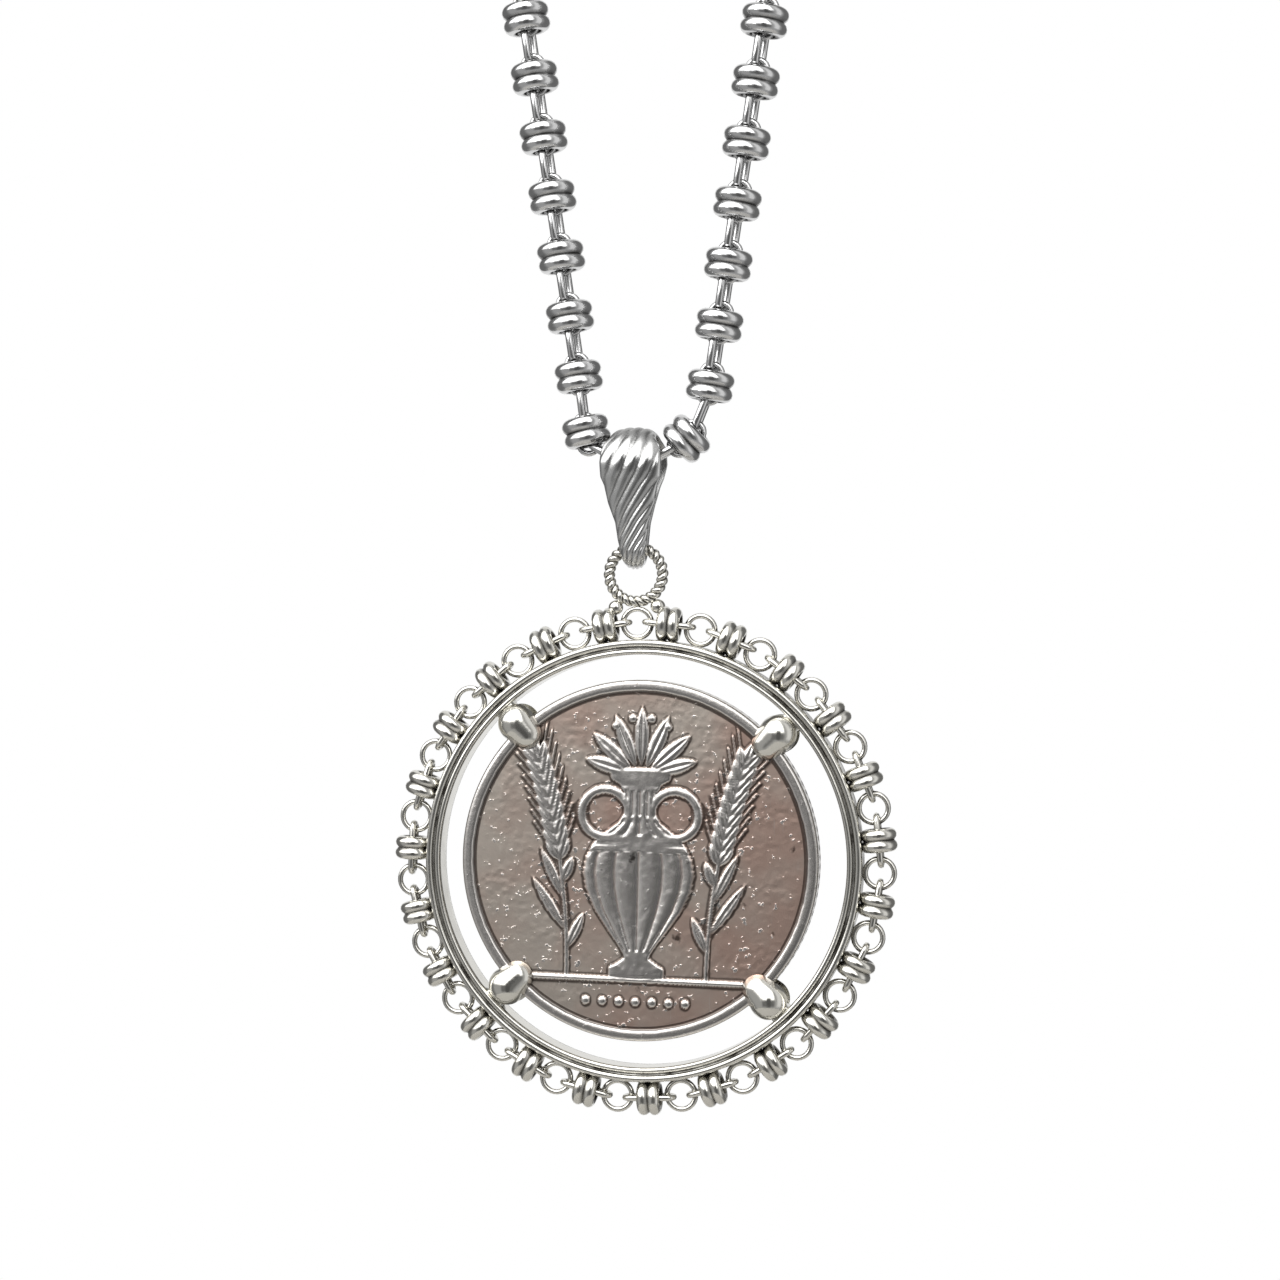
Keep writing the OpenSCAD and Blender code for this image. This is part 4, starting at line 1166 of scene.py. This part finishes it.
def ear(x, y):
    """The right ear of grain."""
    bend = EAR_BEND * EAR_TALL
    foot_x = 0.42 * FIELD_R
    top = math.asin(1 / EAR_BEND)

    def on_stem(share):
        return foot_x + bend * (1 - math.cos(top * share)), GROUND + bend * math.sin(top * share)

    height = np.zeros_like(x)
    for i in range(STEM_STEPS):
        stem = bar(x, y, on_stem(i / STEM_STEPS), on_stem((i + 1) / STEM_STEPS), 0.19)
        height = np.maximum(height, 0.6 * swell(stem, 0.19))
    for share, turn, length in EAR_LEAVES:
        blade = leaf(x, y, on_stem(share), turn, length * EAR_TALL, 0.05 * EAR_TALL)
        height = np.maximum(height, 0.8 * blade)
    for i in range(GRAIN_ROWS):
        share = 0.52 + 0.44 * i / (GRAIN_ROWS - 1)
        for s in (-1, 1):
            turn = -math.degrees(top * share) - s * 26
            foot = on_stem(share)
            height = np.maximum(height, leaf(x, y, foot, turn, 0.118 * EAR_TALL, 0.052 * EAR_TALL))
            a = math.radians(turn)
            end = (foot[0] - 3.6 * math.sin(a), foot[1] + 3.6 * math.cos(a))
            height = np.maximum(height, 0.4 * swell(bar(x, y, foot, end, 0.1), 0.1))
    top_grain = leaf(x, y, on_stem(0.98), -math.degrees(top), 0.12 * EAR_TALL, 0.05 * EAR_TALL)
    return np.maximum(height, top_grain)


print("ears", round(EAR_TALL, 1), "mm tall")

# %% The whole picture, front and back
WREATH_LEAVES = 11


def relief(x, y):
    height = np.maximum(jar(x, y), sprig(x, y))
    height = np.maximum(height, np.maximum(ear(x, y), ear(-x, y)))
    ground = bar(x, y, (-0.64 * FIELD_R, GROUND - 0.12), (0.64 * FIELD_R, GROUND - 0.12), 0.22)
    height = np.maximum(height, 0.9 * swell(ground, 0.2))
    for i in range(-3, 4):
        pellet = 0.36 - np.hypot(x - 0.1 * i * FIELD_R, y - GROUND + 0.14 * FIELD_R)
        height = np.maximum(height, 0.85 * swell(pellet, 0.32))
    return height


def wreath(x, y):
    """The back of the coin: two branches of leaves that meet at the foot."""
    height = np.zeros_like(x)
    for s in (-1, 1):
        for i in range(WREATH_LEAVES):
            a = math.radians(-84 + 14.2 * i)
            stem = (s * 8.2 * math.cos(a), 8.2 * math.sin(a))
            for lean in (-28, 28):
                height = np.maximum(height, leaf(x, y, stem, s * (math.degrees(a) + lean), 2.6, 1))
    return height


print("highest form", round(float(relief(np.zeros(1), np.zeros(1))[0]), 2), "of the relief at the middle")

# %% [markdown]
# The grid is a square drawn out to a disc, so that its cells stay nearly square and no point is crowded at
# the middle. Rings of the same number of points carry on over the rim, down the reeded edge and on to the
# back, which has a grid of half as many points, stitched on with triangles.

# %% A grid over a disc
def disc_grid(cells, radius):
    s = np.linspace(-1, 1, cells + 1)
    a, b = np.meshgrid(s, s, indexing="ij")
    wide = np.abs(a) > np.abs(b)
    r = np.where(wide, a, b)
    with np.errstate(divide="ignore", invalid="ignore"):
        turn = np.nan_to_num(np.where(wide, math.pi / 4 * b / a, math.pi / 2 - math.pi / 4 * a / b))
    return radius * (r * np.cos(turn)).ravel(), radius * (r * np.sin(turn)).ravel()


def edge_of(cells):
    """The grid's outer points in order, once round."""
    n = cells + 1
    k = np.arange(cells)
    return np.concatenate([cells * n + k, (cells - k) * n + cells, cells - k, k * n])


CELLS = 244
print("grid of", CELLS, "cells a side, the back of", CELLS // 2)

# %% The face of the coin
field_z = COIN_T / 2 - RIM_H
x, y = disc_grid(CELLS, FIELD_R)
inward = np.clip((FIELD_R - np.hypot(x, y)) / 0.5, 0, 1)
forms = relief(x, y)
raised = forms * inward
wear = lattice(x, y, 0.34, 3) * lattice(x, y, 2.6, 4)
pits = np.clip(lattice(x, y, 0.3, 5) - 0.8, 0, 1) * lattice(x, y, 3.2, 6)
z = field_z + RELIEF_H * 0.97 * raised * (0.9 + 0.1 * lattice(x, y, 0.5, 7)) + 0.02 * inward * (wear - pits)
front = np.stack([x, y, z], 1)
print("face from", round(z.min(), 2), "to", round(z.max(), 2), "mm over the coin's middle")

# %% [markdown]
# The rim is an outline of points, each so far out from the field and so high over it. The die left its foot
# a little uneven, and fine reeds run across the edge between the two rims.

# %% The rim, the edge and the back
RIM = [(0.04, 0.02), (0.1, 0.12), (0.17, 0.185), (0.27, 0.215), (0.42, 0.22), (0.6, 0.22), (0.74, 0.205),
       (0.85, 0.15), (0.92, 0.06), (0.95, -0.04)]
EDGE_SHARES = (0.8, 0.72, -0.72, -0.8)
REED_SHARE = 0.75  # the reeds end at this share of the field's height
REEDS = 120
edge = front[edge_of(CELLS)]
turned = np.arctan2(edge[:, 1], edge[:, 0])
uneven = 0.045 * lattice(12 * np.cos(turned) + 40, 12 * np.sin(turned) + 40, 0.5, 8)
reed = 0.03 * (0.5 + 0.5 * np.cos(REEDS * turned))
rings = []
for side in (1, -1):
    for out, rise in RIM[::side]:
        r = FIELD_R + out + (uneven if out < 0.2 else 0)
        level = side * (field_z + rise) + 0 * turned
        rings.append(np.stack([r * np.cos(turned), r * np.sin(turned), level], 1))
    if side == 1:
        for share in EDGE_SHARES:
            r = COIN_D / 2 - (reed if abs(share) < REED_SHARE else 0)
            level = share * field_z + 0 * turned
            rings.append(np.stack([r * np.cos(turned), r * np.sin(turned), level], 1))

bx, by = disc_grid(CELLS // 2, FIELD_R - 0.1)
back = wreath(bx, by) * np.clip((FIELD_R - np.hypot(bx, by)) / 0.6, 0, 1)
behind = np.stack([bx, by, -field_z - RELIEF_H * 0.9 * back - 0.01 * lattice(bx, by, 0.6, 9)], 1)
print(len(rings), "rings between the face and the back")

# %% [markdown]
# Dirt and painted shade lie where a form rises from the field, and bright specks crowd near the forms. Both
# come from blurring the forms over the grid: where the blurred forms are higher than the forms themselves, a
# foot is near. The foot of the rim gets a line of dirt and painted shade too.

# %% Where the dirt, the painted shade and the specks are
def blurred(values, reach):
    """Each point's average over a square of neighbours on the grid."""
    grid = values.reshape(CELLS + 1, CELLS + 1)
    for axis in (0, 1):
        shifted = [np.roll(grid, k, axis) for k in range(-reach, reach + 1)]
        grid = sum(shifted) / len(shifted)
    return grid.ravel()


inside = np.hypot(x, y) < FIELD_R - 0.2
solid_form = np.clip(forms / 0.3, 0, 1)
by_rim = np.clip((np.hypot(x, y) - FIELD_R + 0.16) / 0.1, 0, 1)
# Dirt and painted shade at the foot of each form.
corner = np.maximum(np.clip((blurred(solid_form, 2) - solid_form) * 1.6, 0, 1) * inside, by_rim)
nearby = np.clip(blurred(solid_form, 14) * 2, 0, 1) * inside * (1 - solid_form)
none = np.zeros(len(rings) * 4 * CELLS + len(behind))
# A line of dirt and painted shade at the foot of the rim.
rim_foot = none.copy()
rim_foot[:4 * CELLS] = 1
rim_foot[4 * CELLS:8 * CELLS] = 0.2
print("dirt on", round(100 * float(corner.mean())), "percent of the face")

# %% The faces of the coin's mesh
n, m, round_n = CELLS + 1, CELLS // 2 + 1, 4 * CELLS
i, j = np.meshgrid(np.arange(CELLS), np.arange(CELLS), indexing="ij")
faces = (np.stack([i * n + j, (i + 1) * n + j, (i + 1) * n + j + 1, i * n + j + 1], -1)
         .reshape(-1, 4).tolist())
loops = [edge_of(CELLS)] + [n * n + k * round_n + np.arange(round_n) for k in range(len(rings))]
for one, two in zip(loops, loops[1:]):
    faces += np.stack([one, two, np.roll(two, -1), np.roll(one, -1)], 1).tolist()
first = n * n + len(rings) * round_n
rim, inner = loops[-1], first + edge_of(CELLS // 2)
for k in range(round_n // 2):
    a, b, c = rim[2 * k], rim[2 * k + 1], rim[(2 * k + 2) % round_n]
    d, e = inner[k], inner[(k + 1) % len(inner)]
    faces += [[int(v) for v in f] for f in ((a, d, b), (b, d, e), (b, e, c))]
i, j = np.meshgrid(np.arange(m - 1), np.arange(m - 1), indexing="ij")
faces += (np.stack([i * m + j, i * m + j + 1, (i + 1) * m + j + 1, (i + 1) * m + j], -1)
          .reshape(-1, 4) + first).tolist()
print(len(faces), "faces")

# %% The struck coin
points = np.concatenate([front] + rings + [behind])
height = np.concatenate([raised] + [np.full(len(r), 0.8) for r in rings] + [back])
coin_place = (HANG @ Matrix.Translation((-COIN_SHIFT * MM, 0, 0))
              @ Matrix.Rotation(-math.radians(COIN_TURN), 4, "Y") @ Matrix.Rotation(math.pi / 2, 4, "X"))
coin = piece_from("struck_coin", points, faces, COIN_STEEL, coin_place, raised=height,
                  corner=np.concatenate([corner, rim_foot]), nearby=np.concatenate([nearby, none]))
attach(coin, "pendant")
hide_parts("coin")
